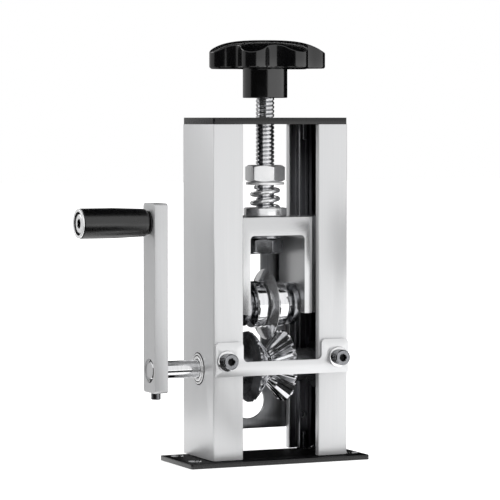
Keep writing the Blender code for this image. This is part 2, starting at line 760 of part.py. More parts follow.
def make_blade_group(blade_steel, roller_steel, dark_steel, shaft_steel, pivots, carriage):
    turn = (0, quarter_turn, 0)
    place = (0, 0, axle_height)
    mesh = revolved("blade_axle", rod_profile(axle_radius, -axle_end, axle_end, shaft_chamfer))
    add_object("blade_axle", mesh, shaft_steel, place, turn, carriage)
    blade = [(axle_hole, -blade_half_thickness), (blade_bevel_radius, -blade_half_thickness),
             (blade_radius, -blade_edge), (blade_radius, blade_edge),
             (blade_bevel_radius, blade_half_thickness), (axle_hole, blade_half_thickness)]
    mesh = revolved("round_blade", blade, fine_steps, closed=True)
    add_object("round_blade", mesh, blade_steel, place, turn, pivots["blade"])
    inner = roller_inner
    outer = roller_outer
    centre = roller_radius - roller_round
    roller = [(axle_hole, inner)] + arc((centre, inner + roller_round), roller_round, -90, 0)
    roller += arc((centre, outer - roller_round), roller_round, 0, 90) + [(axle_hole, outer)]
    start = outer + seat
    end = window_half - seat
    step = end - spacer_collar_length
    spacer = [(axle_hole, start), (spacer_radius - hair, start), (spacer_radius, start + hair),
              (spacer_radius, step), (spacer_collar_radius - hair, step),
              (spacer_collar_radius, step + hair), (spacer_collar_radius, end), (axle_hole, end)]
    for word, side in (("left", -1), ("right", 1)):
        turn = (0, side * quarter_turn, 0)
        name = word + "_roller"
        mesh = revolved(name, roller, fine_steps, closed=True)
        add_object(name, mesh, roller_steel, place, turn, pivots[word])
        name = word + "_axle_spacer"
        mesh = revolved(name, spacer, closed=True)
        add_object(name, mesh, dark_steel, place, turn, carriage)


def hex_nut(name, flats, bottom, height, material, pivot):
    corner = flats / 2 / math.cos(math.pi / 6)
    outline = arc((0, 0), corner, 0, 300, 5)
    nut = add_object(name, extruded(name, outline, -height / 2, height / 2), material,
                     (0, 0, bottom + height / 2), (0, 0, nut_turn), pivot)
    crown = flats / 2 * nut_crown_share
    drop = (corner + overrun - crown) * math.tan(nut_crown_angle)
    profile = [(0, -height / 2), (crown, -height / 2), (corner + overrun, drop - height / 2),
               (corner + overrun, height / 2 - drop), (crown, height / 2), (0, height / 2)]
    lens = bmesh.new()
    revolve(lens, profile, fine_steps)
    cut(nut, lens, "INTERSECT")
    hole = bmesh.new()
    plain_rod(hole, screw_hole, (0, 0, -height), (0, 0, height))
    cut(nut, hole)


def make_screw_group(chrome, dark_steel, screw_steel, pivots):
    pivot = pivots["screw"]
    profile = rod_profile(screw_radius, 0, screw_top - screw_bottom, screw_chamfer)
    mesh = revolved("press_screw", profile)
    add_object("press_screw", mesh, screw_steel, (0, 0, screw_bottom), parent=pivot)
    hex_nut("upper_nut", upper_nut_flats, upper_nut_bottom, upper_nut_height, chrome, pivot)
    hex_nut("lower_nut", lower_nut_flats, lower_nut_bottom, lower_nut_height, dark_steel, pivot)
    rings = (("spring_top_washer", top_washer_radius, top_washer_bottom, top_washer_thickness, "press"),
             ("lower_washer", lower_washer_radius, lower_washer_bottom, lower_washer_thickness, "screw"))
    for name, radius, bottom, thickness, body in rings:
        mesh = revolved(name, ring_profile(screw_hole, radius, 0, thickness), closed=True)
        add_object(name, mesh, chrome, (0, 0, bottom), parent=pivots[body])
    inside = collar_radius - collar_wall
    cup = [(screw_hole, 0), (collar_radius - hair, 0), (collar_radius, hair),
           (collar_radius, collar_height - hair), (collar_radius - hair, collar_height),
           (inside, collar_height), (inside, collar_floor), (screw_hole, collar_floor)]
    mesh = revolved("spring_collar", cup, closed=True)
    add_object("spring_collar", mesh, chrome, (0, 0, collar_bottom), parent=pivots["carriage"])


def spring_points():
    # A right-hand helix whose pitch closes up towards both ends.
    count = round(spring_turns * spring_turn_points)
    radius = spring_radius - spring_wire / 2
    rise = spring_free - spring_wire
    points = []
    for number in range(count + 1):
        share = number / count
        angle = spring_start + full_turn * spring_turns * share
        sway = spring_swing_share * math.sin(full_turn * share) / full_turn
        height = spring_wire / 2 + rise * (share - sway)
        points.append(Vector((radius * math.cos(angle), radius * math.sin(angle), height)))
    return points


def make_spring(steel, pivot):
    points = spring_points()
    apart = spring_turn_points // 2
    least = min((points[a] - points[b]).length for a in range(len(points))
                for b in range(a + apart, len(points)))
    print("spring: least gap between turns is %.2f mm" % ((least - spring_wire) / mm))
    curve = bpy.data.curves.new("spring", "CURVE")
    curve.dimensions = "3D"
    curve.bevel_depth = spring_wire / 2
    curve.bevel_resolution = 1
    curve.use_fill_caps = True
    line = curve.splines.new("POLY")
    line.points.add(len(points) - 1)
    for spot, point in zip(line.points, points):
        spot.co = (*point, 1)
    add_object("spring", curve, steel, (0, 0, spring_bottom), parent=pivot)


def knob_rise(radius):
    # Height of the dome over the hub's end, at a distance from the axis.
    fall = knob_dome * (radius / knob_radius) ** knob_dome_power
    return knob_hub_length + knob_lobe_height + knob_dome - fall


def knob_profile(reach):
    # Radius and height over the hub's end, from the hub up a lobe's side to the dome.
    hub = knob_hub_radius
    edge = knob_edge
    inner = reach - edge
    profile = [(hub - hair, 0), (hub, hair), (hub, knob_hub_length - edge),
               (hub + edge, knob_hub_length), (inner, knob_hub_length),
               (reach, knob_hub_length + edge), (reach, knob_rise(reach) - edge),
               (inner, knob_rise(inner))]
    return profile + [(inner * share, knob_rise(inner * share)) for share in knob_dome_shares]


def knob_outline():
    # Angle and reach of points round the lobes' tips and the valleys between them.
    half = math.pi / knob_lobes
    tip = knob_radius - knob_tip_radius
    between = knob_tip_radius + knob_valley_radius
    lean = math.asin(tip * math.sin(half) / between)
    valley = tip * math.cos(half) + between * math.cos(lean)
    outline = []
    for lobe in range(knob_lobes):
        middle = 2 * half * lobe
        for step in range(knob_tip_steps + 1):
            turn = middle + (half + lean) * (2 * step / knob_tip_steps - 1)
            outline.append((tip * math.cos(middle) + knob_tip_radius * math.cos(turn),
                            tip * math.sin(middle) + knob_tip_radius * math.sin(turn)))
        middle += half
        for step in range(1, knob_valley_steps):
            turn = middle + lean * (1 - 2 * step / knob_valley_steps)
            outline.append((valley * math.cos(middle) - knob_valley_radius * math.cos(turn),
                            valley * math.sin(middle) - knob_valley_radius * math.sin(turn)))
    return [(math.atan2(y, x), math.hypot(x, y)) for x, y in outline]


def make_knob(black, pivot):
    shape = bmesh.new()
    columns = []
    for angle, reach in knob_outline():
        columns.append([shape.verts.new((radius * math.cos(angle), radius * math.sin(angle), height))
                        for radius, height in knob_profile(reach)])
    for number, near in enumerate(columns):
        far = columns[(number + 1) % len(columns)]
        for low in range(len(near) - 1):
            shape.faces.new((near[low], far[low], far[low + 1], near[low + 1]))
    crown = shape.verts.new((0, 0, knob_rise(0)))
    for number, near in enumerate(columns):
        shape.faces.new((near[-1], columns[(number + 1) % len(columns)][-1], crown))
    shape.faces.new([column[0] for column in columns])
    knob = add_object("knob", finish_mesh(shape, "knob", smooth=True), black,
                      (0, 0, knob_hub_bottom), (0, 0, knob_angle), pivot)
    hole = bmesh.new()
    plain_rod(hole, screw_hole, (0, 0, -overrun), (0, 0, screw_in_knob + seat))
    cut(knob, hole)


def main():
    clear_scene()
    brushed = make_material("brushed_aluminium", (0.62, 0.63, 0.64), 1, 0.38)
    arm_metal = make_material("satin_aluminium", (0.6, 0.6, 0.61), 1, 0.42)
    black_plate = make_material("black_anodised_plate", (0.012, 0.012, 0.013), 0.2, 0.4)
    black_knob = make_material("black_knob_plastic", (0.008, 0.008, 0.009), 0, 0.28)
    black_grip = make_material("black_grip_plastic", (0.01, 0.01, 0.011), 0, 0.42)
    black_washer = make_material("black_nylon", (0.01, 0.01, 0.01), 0, 0.5)
    chrome = make_material("chromed_steel", (0.72, 0.73, 0.75), 1, 0.1)
    dark_steel = make_material("dark_steel", (0.2, 0.2, 0.21), 1, 0.3)
    screw_steel = make_material("socket_screw_steel", (0.28, 0.28, 0.29), 1, 0.32)
    thread_steel = make_material("rolled_thread_steel", (0.55, 0.56, 0.58), 1, 0.22)
    shaft_steel = make_material("ground_shaft_steel", (0.65, 0.66, 0.68), 1, 0.14)
    wheel_steel = make_material("hardened_wheel_steel", (0.6, 0.61, 0.63), 1, 0.2)
    blade_steel = make_material("ground_blade_steel", (0.66, 0.67, 0.69), 1, 0.15)
    roller_steel = make_material("polished_roller_steel", (0.72, 0.73, 0.75), 1, 0.08)
    housing_steel = make_material("blackened_housing_steel", (0.03, 0.03, 0.032), 0.8, 0.35)
    bronze = make_material("bush_steel", (0.5, 0.5, 0.52), 1, 0.25)
    spring_steel = make_material("plated_spring_steel", (0.7, 0.71, 0.73), 1, 0.16)
    plate_steel = make_material("back_plate_steel", (0.35, 0.355, 0.36), 1, 0.4)

    crank = add_pivot("crank_pivot", (0, 0, shaft_height))
    pivots = {"grip": add_pivot("grip_pivot", (0, 0, grip_height)),
              "press": add_pivot("press_pivot", (0, 0, top_washer_bottom)),
              "screw": add_pivot("screw_pivot", (0, 0, screw_bottom)),
              "carriage": add_pivot("carriage_pivot", (0, 0, slider_top)),
              "blade": add_pivot("blade_pivot", (0, 0, axle_height)),
              "left": add_pivot("left_roller_pivot", (0, 0, axle_height)),
              "right": add_pivot("right_roller_pivot", (0, 0, axle_height))}

    make_frame_plates(black_plate, screw_steel)
    make_uprights(brushed)
    make_bearings(housing_steel, bronze, screw_steel)
    make_drive(shaft_steel, wheel_steel, screw_steel, crank)
    make_crank(arm_metal, black_grip, chrome, black_washer, crank, pivots["grip"])
    make_guides(brushed, plate_steel, screw_steel)
    make_slider(brushed, pivots["carriage"])
    make_blade_group(blade_steel, roller_steel, dark_steel, shaft_steel, pivots, pivots["carriage"])
    make_screw_group(chrome, dark_steel, thread_steel, pivots)
    make_spring(spring_steel, pivots["press"])
    make_knob(black_knob, pivots["screw"])


main()
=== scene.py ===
# Looks of a hand-cranked cable stripper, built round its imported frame.
# Metres, +Z up, front at -Y, crank at -X. Values in the dictionaries are millimetres or degrees.
import json
import math

import bmesh
import bpy
from mathutils import Matrix, Vector

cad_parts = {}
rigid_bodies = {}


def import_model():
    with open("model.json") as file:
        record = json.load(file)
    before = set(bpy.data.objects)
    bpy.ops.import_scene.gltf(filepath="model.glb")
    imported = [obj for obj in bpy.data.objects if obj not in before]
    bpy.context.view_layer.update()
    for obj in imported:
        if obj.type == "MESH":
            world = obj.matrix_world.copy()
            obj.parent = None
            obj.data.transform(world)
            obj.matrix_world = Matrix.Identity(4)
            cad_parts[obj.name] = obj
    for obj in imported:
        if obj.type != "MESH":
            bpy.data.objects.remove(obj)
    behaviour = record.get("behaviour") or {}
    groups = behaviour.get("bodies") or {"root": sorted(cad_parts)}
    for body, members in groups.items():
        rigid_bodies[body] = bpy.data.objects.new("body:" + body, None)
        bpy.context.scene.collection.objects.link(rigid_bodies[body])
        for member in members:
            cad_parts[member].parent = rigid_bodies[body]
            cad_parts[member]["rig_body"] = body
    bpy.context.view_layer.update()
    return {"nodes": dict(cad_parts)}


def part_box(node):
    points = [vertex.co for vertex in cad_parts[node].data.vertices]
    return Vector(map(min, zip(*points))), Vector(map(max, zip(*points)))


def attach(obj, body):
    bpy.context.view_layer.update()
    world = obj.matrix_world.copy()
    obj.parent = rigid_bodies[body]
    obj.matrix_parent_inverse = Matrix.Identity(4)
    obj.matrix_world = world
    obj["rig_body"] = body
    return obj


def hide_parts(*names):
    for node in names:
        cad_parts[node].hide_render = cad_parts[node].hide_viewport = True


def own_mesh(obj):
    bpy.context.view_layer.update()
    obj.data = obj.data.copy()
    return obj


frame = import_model()
nodes = frame["nodes"]
mm = 0.001
overrun = 2  # mm by which a cutter passes a face
skin = 0.05  # mm from a face within which a point counts as on it
fullTurn = 2 * math.pi
facing = {"x": (0, math.pi / 2, 0), "-x": (0, -math.pi / 2, 0), "y": (-math.pi / 2, 0, 0),
          "-y": (math.pi / 2, 0, 0), "z": (0, 0, 0), "-z": (math.pi, 0, 0)}  # turns local Z that way


# Finishes

def linear(hexText):
    # sRGB hex to the linear values that the shader works in
    channels = [int(hexText[i:i + 2], 16) / 255 for i in (1, 3, 5)]
    return [c / 12.92 if c <= 0.04045 else ((c + 0.055) / 1.055) ** 2.4 for c in channels] + [1]


def addNode(tree, kind, settings=None, links=None):
    node = tree.nodes.new("ShaderNode" + kind)
    for key, value in (settings or {}).items():
        if isinstance(key, int) or key in node.inputs:
            node.inputs[key].default_value = value
        else:
            setattr(node, key, value)
    for key, socket in (links or {}).items():
        tree.links.new(socket, node.inputs[key])
    return node


def makeFinish(name, dark, light, metal, rough, grain, relief=0.0, sharp=3, shine=0.5, contrast=0.25):
    # Grain is the size in mm of the marks along x, y and z; the noise between its dark and
    # light shifts the colour, the roughness and, by relief in mm, the surface itself.
    material = bpy.data.materials.new(name)
    material.use_nodes = True
    tree = material.node_tree
    shader = tree.nodes["Principled BSDF"]
    shader.inputs["Metallic"].default_value = metal
    shader.inputs["Specular IOR Level"].default_value = shine
    place = addNode(tree, "TexCoord").outputs["Object"]
    scale = [1 / (size * mm) for size in grain]
    spread = addNode(tree, "Mapping", {"Scale": scale}, {"Vector": place})
    noise = addNode(tree, "TexNoise", {"Scale": 1, "Detail": sharp, "Roughness": 0.55},
                    {"Vector": spread.outputs["Vector"]})
    stretch = addNode(tree, "MapRange", {"From Min": 0.5 - contrast, "From Max": 0.5 + contrast},
                      {"Value": noise.outputs["Fac"]})
    mark = stretch.outputs["Result"]
    colour = addNode(tree, "Mix", {"data_type": "RGBA", 6: linear(dark), 7: linear(light)}, {0: mark})
    tree.links.new(colour.outputs[2], shader.inputs["Base Color"])
    gloss = addNode(tree, "MapRange", {"To Min": rough[0], "To Max": rough[1]}, {"Value": mark})
    tree.links.new(gloss.outputs["Result"], shader.inputs["Roughness"])
    if relief:
        bump = addNode(tree, "Bump", {"Strength": 1, "Distance": relief * mm}, {"Height": mark})
        tree.links.new(bump.outputs["Normal"], shader.inputs["Normal"])
    return material


# Anodised aluminium, extruded and drawn up the channel: faint lines along its length, and a satin
# skin that spreads reflections into a soft sheen. Real lines are 0.1 mm apart, drawn at 0.7 to show.
channelMetal = makeFinish("anodised aluminium, extruded", "#DADBDC", "#DEDEDF", 0.4, (0.36, 0.38),
                          (0.7, 0.7, 90))
# Inside the channel the same metal is painted a darker, greyer tone as painted shade for the shadow
# in there, and is shiny enough to mirror what stands in front, twice, so it looks dark from the front.
channelShade = makeFinish("anodised aluminium, painted channel shade", "#8E8F92", "#9C9DA0", 1, (0.26, 0.3),
                           (1.6, 1.6, 60))
# Anodised aluminium, milled across: level lines too fine to break the soft shine of the block, and
# of the front bar, which is paler.
blockMetal = makeFinish("anodised aluminium, milled", "#D0D1D2", "#D2D2D3", 0.8, (0.25, 0.26),
                        (60, 60, 0.6))
barMetal = makeFinish("anodised aluminium, milled pale", "#DEDFE0", "#E0E0E1", 0.6, (0.28, 0.29),
                      (60, 60, 0.6))
# Aluminium, brushed along the arm and left bare: a little greyer and softer than the frame.
armMetal = makeFinish("aluminium, brushed", "#CACBCC", "#D2D2D3", 0.5, (0.34, 0.38), (0.6, 0.6, 70))
# Aluminium, bead blasted and anodised black: a dense matt black with a fine grit that greys it.
plateBlack = makeFinish("anodised aluminium, black", "#050506", "#0B0B0C", 0, (0.24, 0.3),
                        (0.5, 0.5, 0.5), relief=0.0005)
# The same plate's blasted top, which soaks up light even at a flat angle.
plateTop = makeFinish("anodised aluminium, black, blasted", "#040405", "#08080A", 0, (0.5, 0.6),
                      (0.5, 0.5, 0.5), relief=0.002, shine=0.08)
# Bare metal where a drill broke through the black layer: bright rims round the bench holes.
bareRim = makeFinish("aluminium, countersunk bare", "#C6C7C8", "#E4E4E5", 1, (0.2, 0.3),
                     (0.8, 0.8, 0.8))
# Chromed steel, plated over a turned face: the guide washers' near mirror, with a slow waver.
chrome = makeFinish("steel, chrome plated", "#DCDDDF", "#F0F0F1", 1, (0.06, 0.1), (6, 6, 6),
                    relief=0.004, sharp=1)
# Steel, zinc plated and clear passivated: a pale, slightly hazy shine on the upper nut and the cup.
zincSteel = makeFinish("steel, zinc plated clear", "#E8E9EA", "#F4F4F5", 0.8, (0.2, 0.25), (5, 5, 5),
                       relief=0.001, sharp=1)
# Steel, zinc plated grey: lower nut, lower washer and spacers, darker than chrome.
greySteel = makeFinish("steel, zinc plated grey", "#8E8F92", "#A9AAAD", 1, (0.16, 0.24), (3, 3, 3),
                       relief=0.003)
# Steel, forged and blackened in oil: socket screws, dark with a grey sheen on worn faces.
screwSteel = makeFinish("alloy steel, oil blackened", "#707174", "#929396", 1, (0.2, 0.28),
                        (0.9, 0.9, 0.9), relief=0.003)
# Painted shade: the same steel down in a hexagon socket, where the punch left it rough, painted near
# black for the shadow in there; the same shade is painted on the barrel holes' walls in the channels.
socketShade = makeFinish("alloy steel, painted socket shade", "#0A0A0B", "#18181A", 0.5, (0.4, 0.55),
                         (0.7, 0.7, 0.7))
# Steel, thread rolled: burnished flanks with fine marks round the screw.
threadSteel = makeFinish("steel, thread rolled", "#C9CACC", "#E2E2E4", 1, (0.1, 0.18), (8, 8, 0.5))
# Steel, ground between centres and polished: a mirror with hair lines round the shaft.
shaftSteel = makeFinish("steel, centreless ground", "#D9DADC", "#EDEDEE", 1, (0.05, 0.1), (20, 20, 0.6),
                        relief=0.0006)
# Tool steel, milled and hardened: crisp tooth faces that flash one by one.
wheelSteel = makeFinish("tool steel, milled and hardened", "#CBCCCF", "#E6E6E8", 1, (0.1, 0.17),
                        (2.5, 2.5, 2.5), relief=0.002)
# The same steel, only turned, on the wheels' backs: a plain grey beside the bright teeth.
wheelBack = makeFinish("tool steel, turned", "#8A8B8E", "#A6A7AA", 0.85, (0.2, 0.28), (9, 9, 0.5))
# Tool steel, surface ground: blade bevels with marks left by the wheel.
bladeSteel = makeFinish("tool steel, surface ground", "#DADBDD", "#EEEEEF", 0.85, (0.12, 0.17), (0.9, 14, 4),
                        relief=0.0006)
# Bearing steel, honed: the rollers' mirror.
rollerSteel = makeFinish("bearing steel, honed", "#E2E3E5", "#F4F4F5", 1, (0.09, 0.13), (16, 16, 0.8))
# Steel, turned and blackened: bearing housings in the channels. The same black is painted shade
# on the front half of the crank arm's recess.
blackSteelAndShade = makeFinish("steel, turned and blackened, also painted recess shade", "#1A1A1C", "#2E2F31", 0.9, (0.26, 0.36),
                          (12, 12, 0.5), relief=0.002)
# Steel, tin plated: bushes, grip ring and bolt, and top washer, whiter and hazier than zinc.
tinSteel = makeFinish("steel, tin plated", "#F4F4F5", "#FFFFFF", 0.4, (0.2, 0.28), (6, 6, 6))
# Cold rolled steel sheet: dull grey with long rolling marks.
sheetSteel = makeFinish("steel sheet, cold rolled", "#77787A", "#8C8D8F", 1, (0.28, 0.38), (1.2, 1.2, 50),
                        relief=0.002)
# Spring wire, drawn and zinc plated: bright along the wire.
springSteel = makeFinish("spring wire, zinc plated", "#E8E9EA", "#F4F4F5", 0.85, (0.14, 0.2), (2, 2, 2),
                         relief=0.0005)
# Phenolic resin, compression moulded: deep glossy black with a slight orange peel.
knobResin = makeFinish("phenolic resin, moulded", "#020203", "#050506", 0, (0.14, 0.2), (4, 4, 4),
                       relief=0.001, sharp=1, shine=0.75)
# Polypropylene, injection moulded: black with a satin skin.
gripPlastic = makeFinish("polypropylene, moulded", "#030304", "#070708", 0, (0.26, 0.32), (1.4, 1.4, 1.4),
                         relief=0.0004, shine=0.8)
# Nylon, stamped: dull black washer.
washerNylon = makeFinish("nylon, stamped", "#0B0B0C", "#161617", 0, (0.45, 0.55), (1, 1, 1), relief=0.01)
print("finishes made")


# Shapes

def hexagon(angle):
    # radius over half the width across flats, a corner at angle zero
    return 1 / math.cos(angle % (math.pi / 3) - math.pi / 6)


def turned(profile, steps=64, closed=False, shape=None):
    # Turns (radius, height) points round Z. A third item bends a ring's radius by its angle.
    shape = shape or bmesh.new()
    rings = []
    for radius, height, *bend in profile:
        if radius == 0:
            rings.append([shape.verts.new((0, 0, height * mm))])
            continue
        ring = []
        for step in range(steps):
            angle = fullTurn * step / steps
            reach = radius * mm * (bend[0](angle) if bend else 1)
            ring.append(shape.verts.new((reach * math.cos(angle), reach * math.sin(angle), height * mm)))
        rings.append(ring)
    pairs = list(zip(rings, rings[1:]))
    if closed:
        pairs.append((rings[-1], rings[0]))
    for near, far in pairs:
        for i in range(steps):
            corners = [near[i % len(near)], near[(i + 1) % steps % len(near)],
                       far[(i + 1) % steps % len(far)], far[i % len(far)]]
            shape.faces.new(list(dict.fromkeys(corners)))
    return shape


def filleted(points, radius, steps=4, closed=False):
    # Rounds an outline's corners. Radius is one size, or one for each point.
    rounded = []
    for index, point in enumerate(points):
        size = radius[index] if isinstance(radius, (list, tuple)) else radius
        last = not closed and index in (0, len(points) - 1)
        if last or not size:
            rounded.append(tuple(point))
            continue
        corner = Vector(point[:2])
        back = Vector(points[index - 1][:2]) - corner
        ahead = Vector(points[(index + 1) % len(points)][:2]) - corner
        half = back.angle(ahead) / 2
        reach = min(size / math.tan(half), 0.48 * back.length, 0.48 * ahead.length)
        start = corner + back.normalized() * reach
        middle = (back.normalized() + ahead.normalized()).normalized()
        centre = corner + middle * reach / math.cos(half)
        arm = start - centre
        sweep = math.pi - 2 * half
        if back.cross(ahead) > 0:
            sweep = -sweep
        for step in range(steps + 1):
            spot = centre + Matrix.Rotation(sweep * step / steps, 2) @ arm
            rounded.append((spot.x, spot.y))
    return rounded


def extruded(loops, low, high, edge=0.25, axis="z"):
    # A plate between two levels; the first loop is its outline and the others are holes.
    shape = bmesh.new()
    edges = []
    for loop in loops:
        ring = [shape.verts.new((x * mm, y * mm, low * mm)) for x, y in loop]
        edges += [shape.edges.new((ring[i - 1], ring[i])) for i in range(len(ring))]
    if len(loops) > 1:
        bmesh.ops.triangle_fill(shape, use_beauty=True, use_dissolve=False, edges=edges)
    else:
        shape.faces.new(shape.verts)
    grown = bmesh.ops.extrude_face_region(shape, geom=shape.faces[:])
    raised = [part for part in grown["geom"] if isinstance(part, bmesh.types.BMVert)]
    bmesh.ops.translate(shape, vec=(0, 0, (high - low) * mm), verts=raised)
    bmesh.ops.recalc_face_normals(shape, faces=shape.faces)
    if edge:
        rims = [e for e in shape.edges if e.calc_face_angle(0) > math.radians(32)]
        bmesh.ops.bevel(shape, geom=rims, offset=edge * mm, segments=2, profile=0.5, affect="EDGES",
                        clamp_overlap=True)
    if axis != "z":
        swap = {"y": ((1, 0, 0), (0, 0, 1), (0, 1, 0)), "x": ((0, 0, 1), (1, 0, 0), (0, 1, 0))}
        bmesh.ops.transform(shape, matrix=Matrix(swap[axis]).to_4x4(), verts=shape.verts)
    return shape


def circle(x, y, radius, steps=48):
    angles = [fullTurn * step / steps for step in range(steps)]
    return [(x + radius * math.cos(a), y + radius * math.sin(a)) for a in angles]


def rectangle(left, right, low, high, corner=0, steps=5):
    points = [(right, low), (right, high), (left, high), (left, low)]
    return filleted(points, corner, steps, closed=True) if corner else points


def meshOf(shape, name, blend=28):
    # Blend is the angle in degrees under which neighbouring faces shade as one.
    bmesh.ops.recalc_face_normals(shape, faces=shape.faces)
    mesh = bpy.data.meshes.new(name)
    shape.to_mesh(mesh)
    shape.free()
    mesh.shade_smooth()
    mesh.set_sharp_from_angle(angle=math.radians(blend))
    return mesh


def carved(mesh, cutter, operation="DIFFERENCE"):
    # Cuts one mesh by another and returns the finished mesh.
    body = bpy.data.objects.new("blank", mesh)
    tool = bpy.data.objects.new("cutter", meshOf(cutter, "cutter"))
    for item in (body, tool):
        bpy.context.scene.collection.objects.link(item)
    boolean = body.modifiers.new("cut", "BOOLEAN")
    boolean.operation = operation
    boolean.solver = "EXACT"
    boolean.object = tool
    ready = body.evaluated_get(bpy.context.evaluated_depsgraph_get())
    result = bpy.data.meshes.new_from_object(ready)
    result.name = mesh.name
    bpy.data.objects.remove(body)
    bpy.data.objects.remove(tool)
    result.shade_smooth()
    result.set_sharp_from_angle(angle=math.radians(28))
    return result


def rod(radius, start, end, steps=48, shape=None):
    # A straight pin between two points in mm, for holes.
    shape = shape or bmesh.new()
    old = set(shape.verts)
    run = Vector(end) - Vector(start)
    turned([(0, 0), (radius, 0), (radius, run.length), (0, run.length)], steps, shape=shape)
    pose = Matrix.Translation(Vector(start) * mm) @ run.to_track_quat("Z", "Y").to_matrix().to_4x4()
    bmesh.ops.transform(shape, matrix=pose, verts=[vert for vert in shape.verts if vert not in old])
    return shape


def ringOf(name, corners, radii, steps=96, fine=3):
    # A turned ring from its corners (radius, height) and the rounding of each.
    profile = filleted(corners + corners[:1], radii + [0], fine)[:-1]
    return meshOf(turned(profile, steps, closed=True), name)


def hoop(name, bore, radius, near, far, radii, steps=96, fine=3):
    # A plain ring between two heights.
    return ringOf(name, [(bore, near), (radius, near), (radius, far), (bore, far)], radii, steps, fine)


def thread(radius, pitch, depth, low, high, marks=10):
    # Rings of a right-hand thread, run out flat at both ends.
    rings = []
    count = round((high - low) / pitch * marks)
    for number in range(count + 1):
        height = low + (high - low) * number / count
        runOut = min(1, (height - low) / depth, (high - height) / depth)

        def cutAt(angle, height=height, runOut=runOut):
            phase = (height / pitch - angle / fullTurn) % 1
            valley = max(0, 1 - 2.3 * abs(2 * phase - 1))
            return 1 - depth / radius * max(valley, 1 - runOut)
        rings.append((radius, height, cutAt))
    return rings


def coated(mesh, finish):
    # Leaves one finish on a mesh.
    mesh.materials.clear()
    mesh.materials.append(finish)
    return mesh


def paint(mesh, finish, test):
    # Gives a second finish to the faces that pass a test of their middle, in mm, and normal.
    mesh.materials.append(finish)
    for face in mesh.polygons:
        if test(face.center / mm, face.normal):
            face.material_index = len(mesh.materials) - 1


def paintSocketShade(mesh, finish, radius, low, high):
    # Paints near-black shade into a socket that lies between two heights of its screw.
    coated(mesh, finish)
    paint(mesh, socketShade, lambda spot, normal: spot.xy.length < radius * 1.16 and low < spot.z < high)
    return mesh


def addPiece(name, mesh, finish, *stands, place=(0, 0, 0), turn="z", spin=0):
    # Places a piece in mm, rides it on the body of the nodes it stands for and hides them.
    piece = bpy.data.objects.new(name, mesh)
    bpy.context.scene.collection.objects.link(piece)
    pose = Matrix.Translation(Vector(place) * mm)
    for number, angle in enumerate(facing[turn]):
        pose = pose @ Matrix.Rotation(angle, 4, "XYZ"[number])
    piece.matrix_world = pose @ Matrix.Rotation(math.radians(spin), 4, "Z")
    if mesh.materials:
        mesh.materials[0] = finish
    else:
        mesh.materials.append(finish)
    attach(piece, nodes[stands[0]]["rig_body"])
    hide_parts(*stands)
    return piece


def inMm(node):
    low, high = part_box(node)
    return low / mm, high / mm


def middleOf(node):
    low, high = inMm(node)
    return (low + high) / 2


def halfOf(node, axis):
    # Half of a node's size along X, Y or Z.
    low, high = inMm(node)
    return (high[axis] - low[axis]) / 2


def reachOf(node, axis=0):
    # How near to the middle plane a node comes, and how far from it.
    return sorted(abs(corner[axis]) for corner in inMm(node))


# Camera

camera = dict(spot=(-605.5, -1327.3, 186.4), heading=24.198, pitch=-2.801, lens=191.58)


def makeCamera():
    data = bpy.data.cameras.new("camera")
    data.lens = camera["lens"]
    data.sensor_width = 36
    item = bpy.data.objects.new("camera", data)
    bpy.context.scene.collection.objects.link(item)
    item.location = Vector(camera["spot"]) * mm
    item.rotation_euler = (math.radians(90 + camera["pitch"]), 0, -math.radians(camera["heading"]))
    bpy.context.scene.camera = item


makeCamera()
print("camera placed")


# Frame

plates = dict(corner=1.2, edge=0.25, benchHole=2.3, sink=1.4, seat=0.28, fromLeft=7.3, fromRight=4.5,
              fromFront=13, fromBack=6.5, screwHole=4, pressHole=5.3)
frameScrew = dict(radius=2, head=3.7, cone=1.8, length=12.5, sink=0.1, pitch=0.7, depth=0.4,
                  socket=1.25, socketDepth=1.2, edge=0.2)


def screwPlaces():
    return [middleOf("top_plate_screw_%d" % number) for number in (1, 2, 3, 4)]


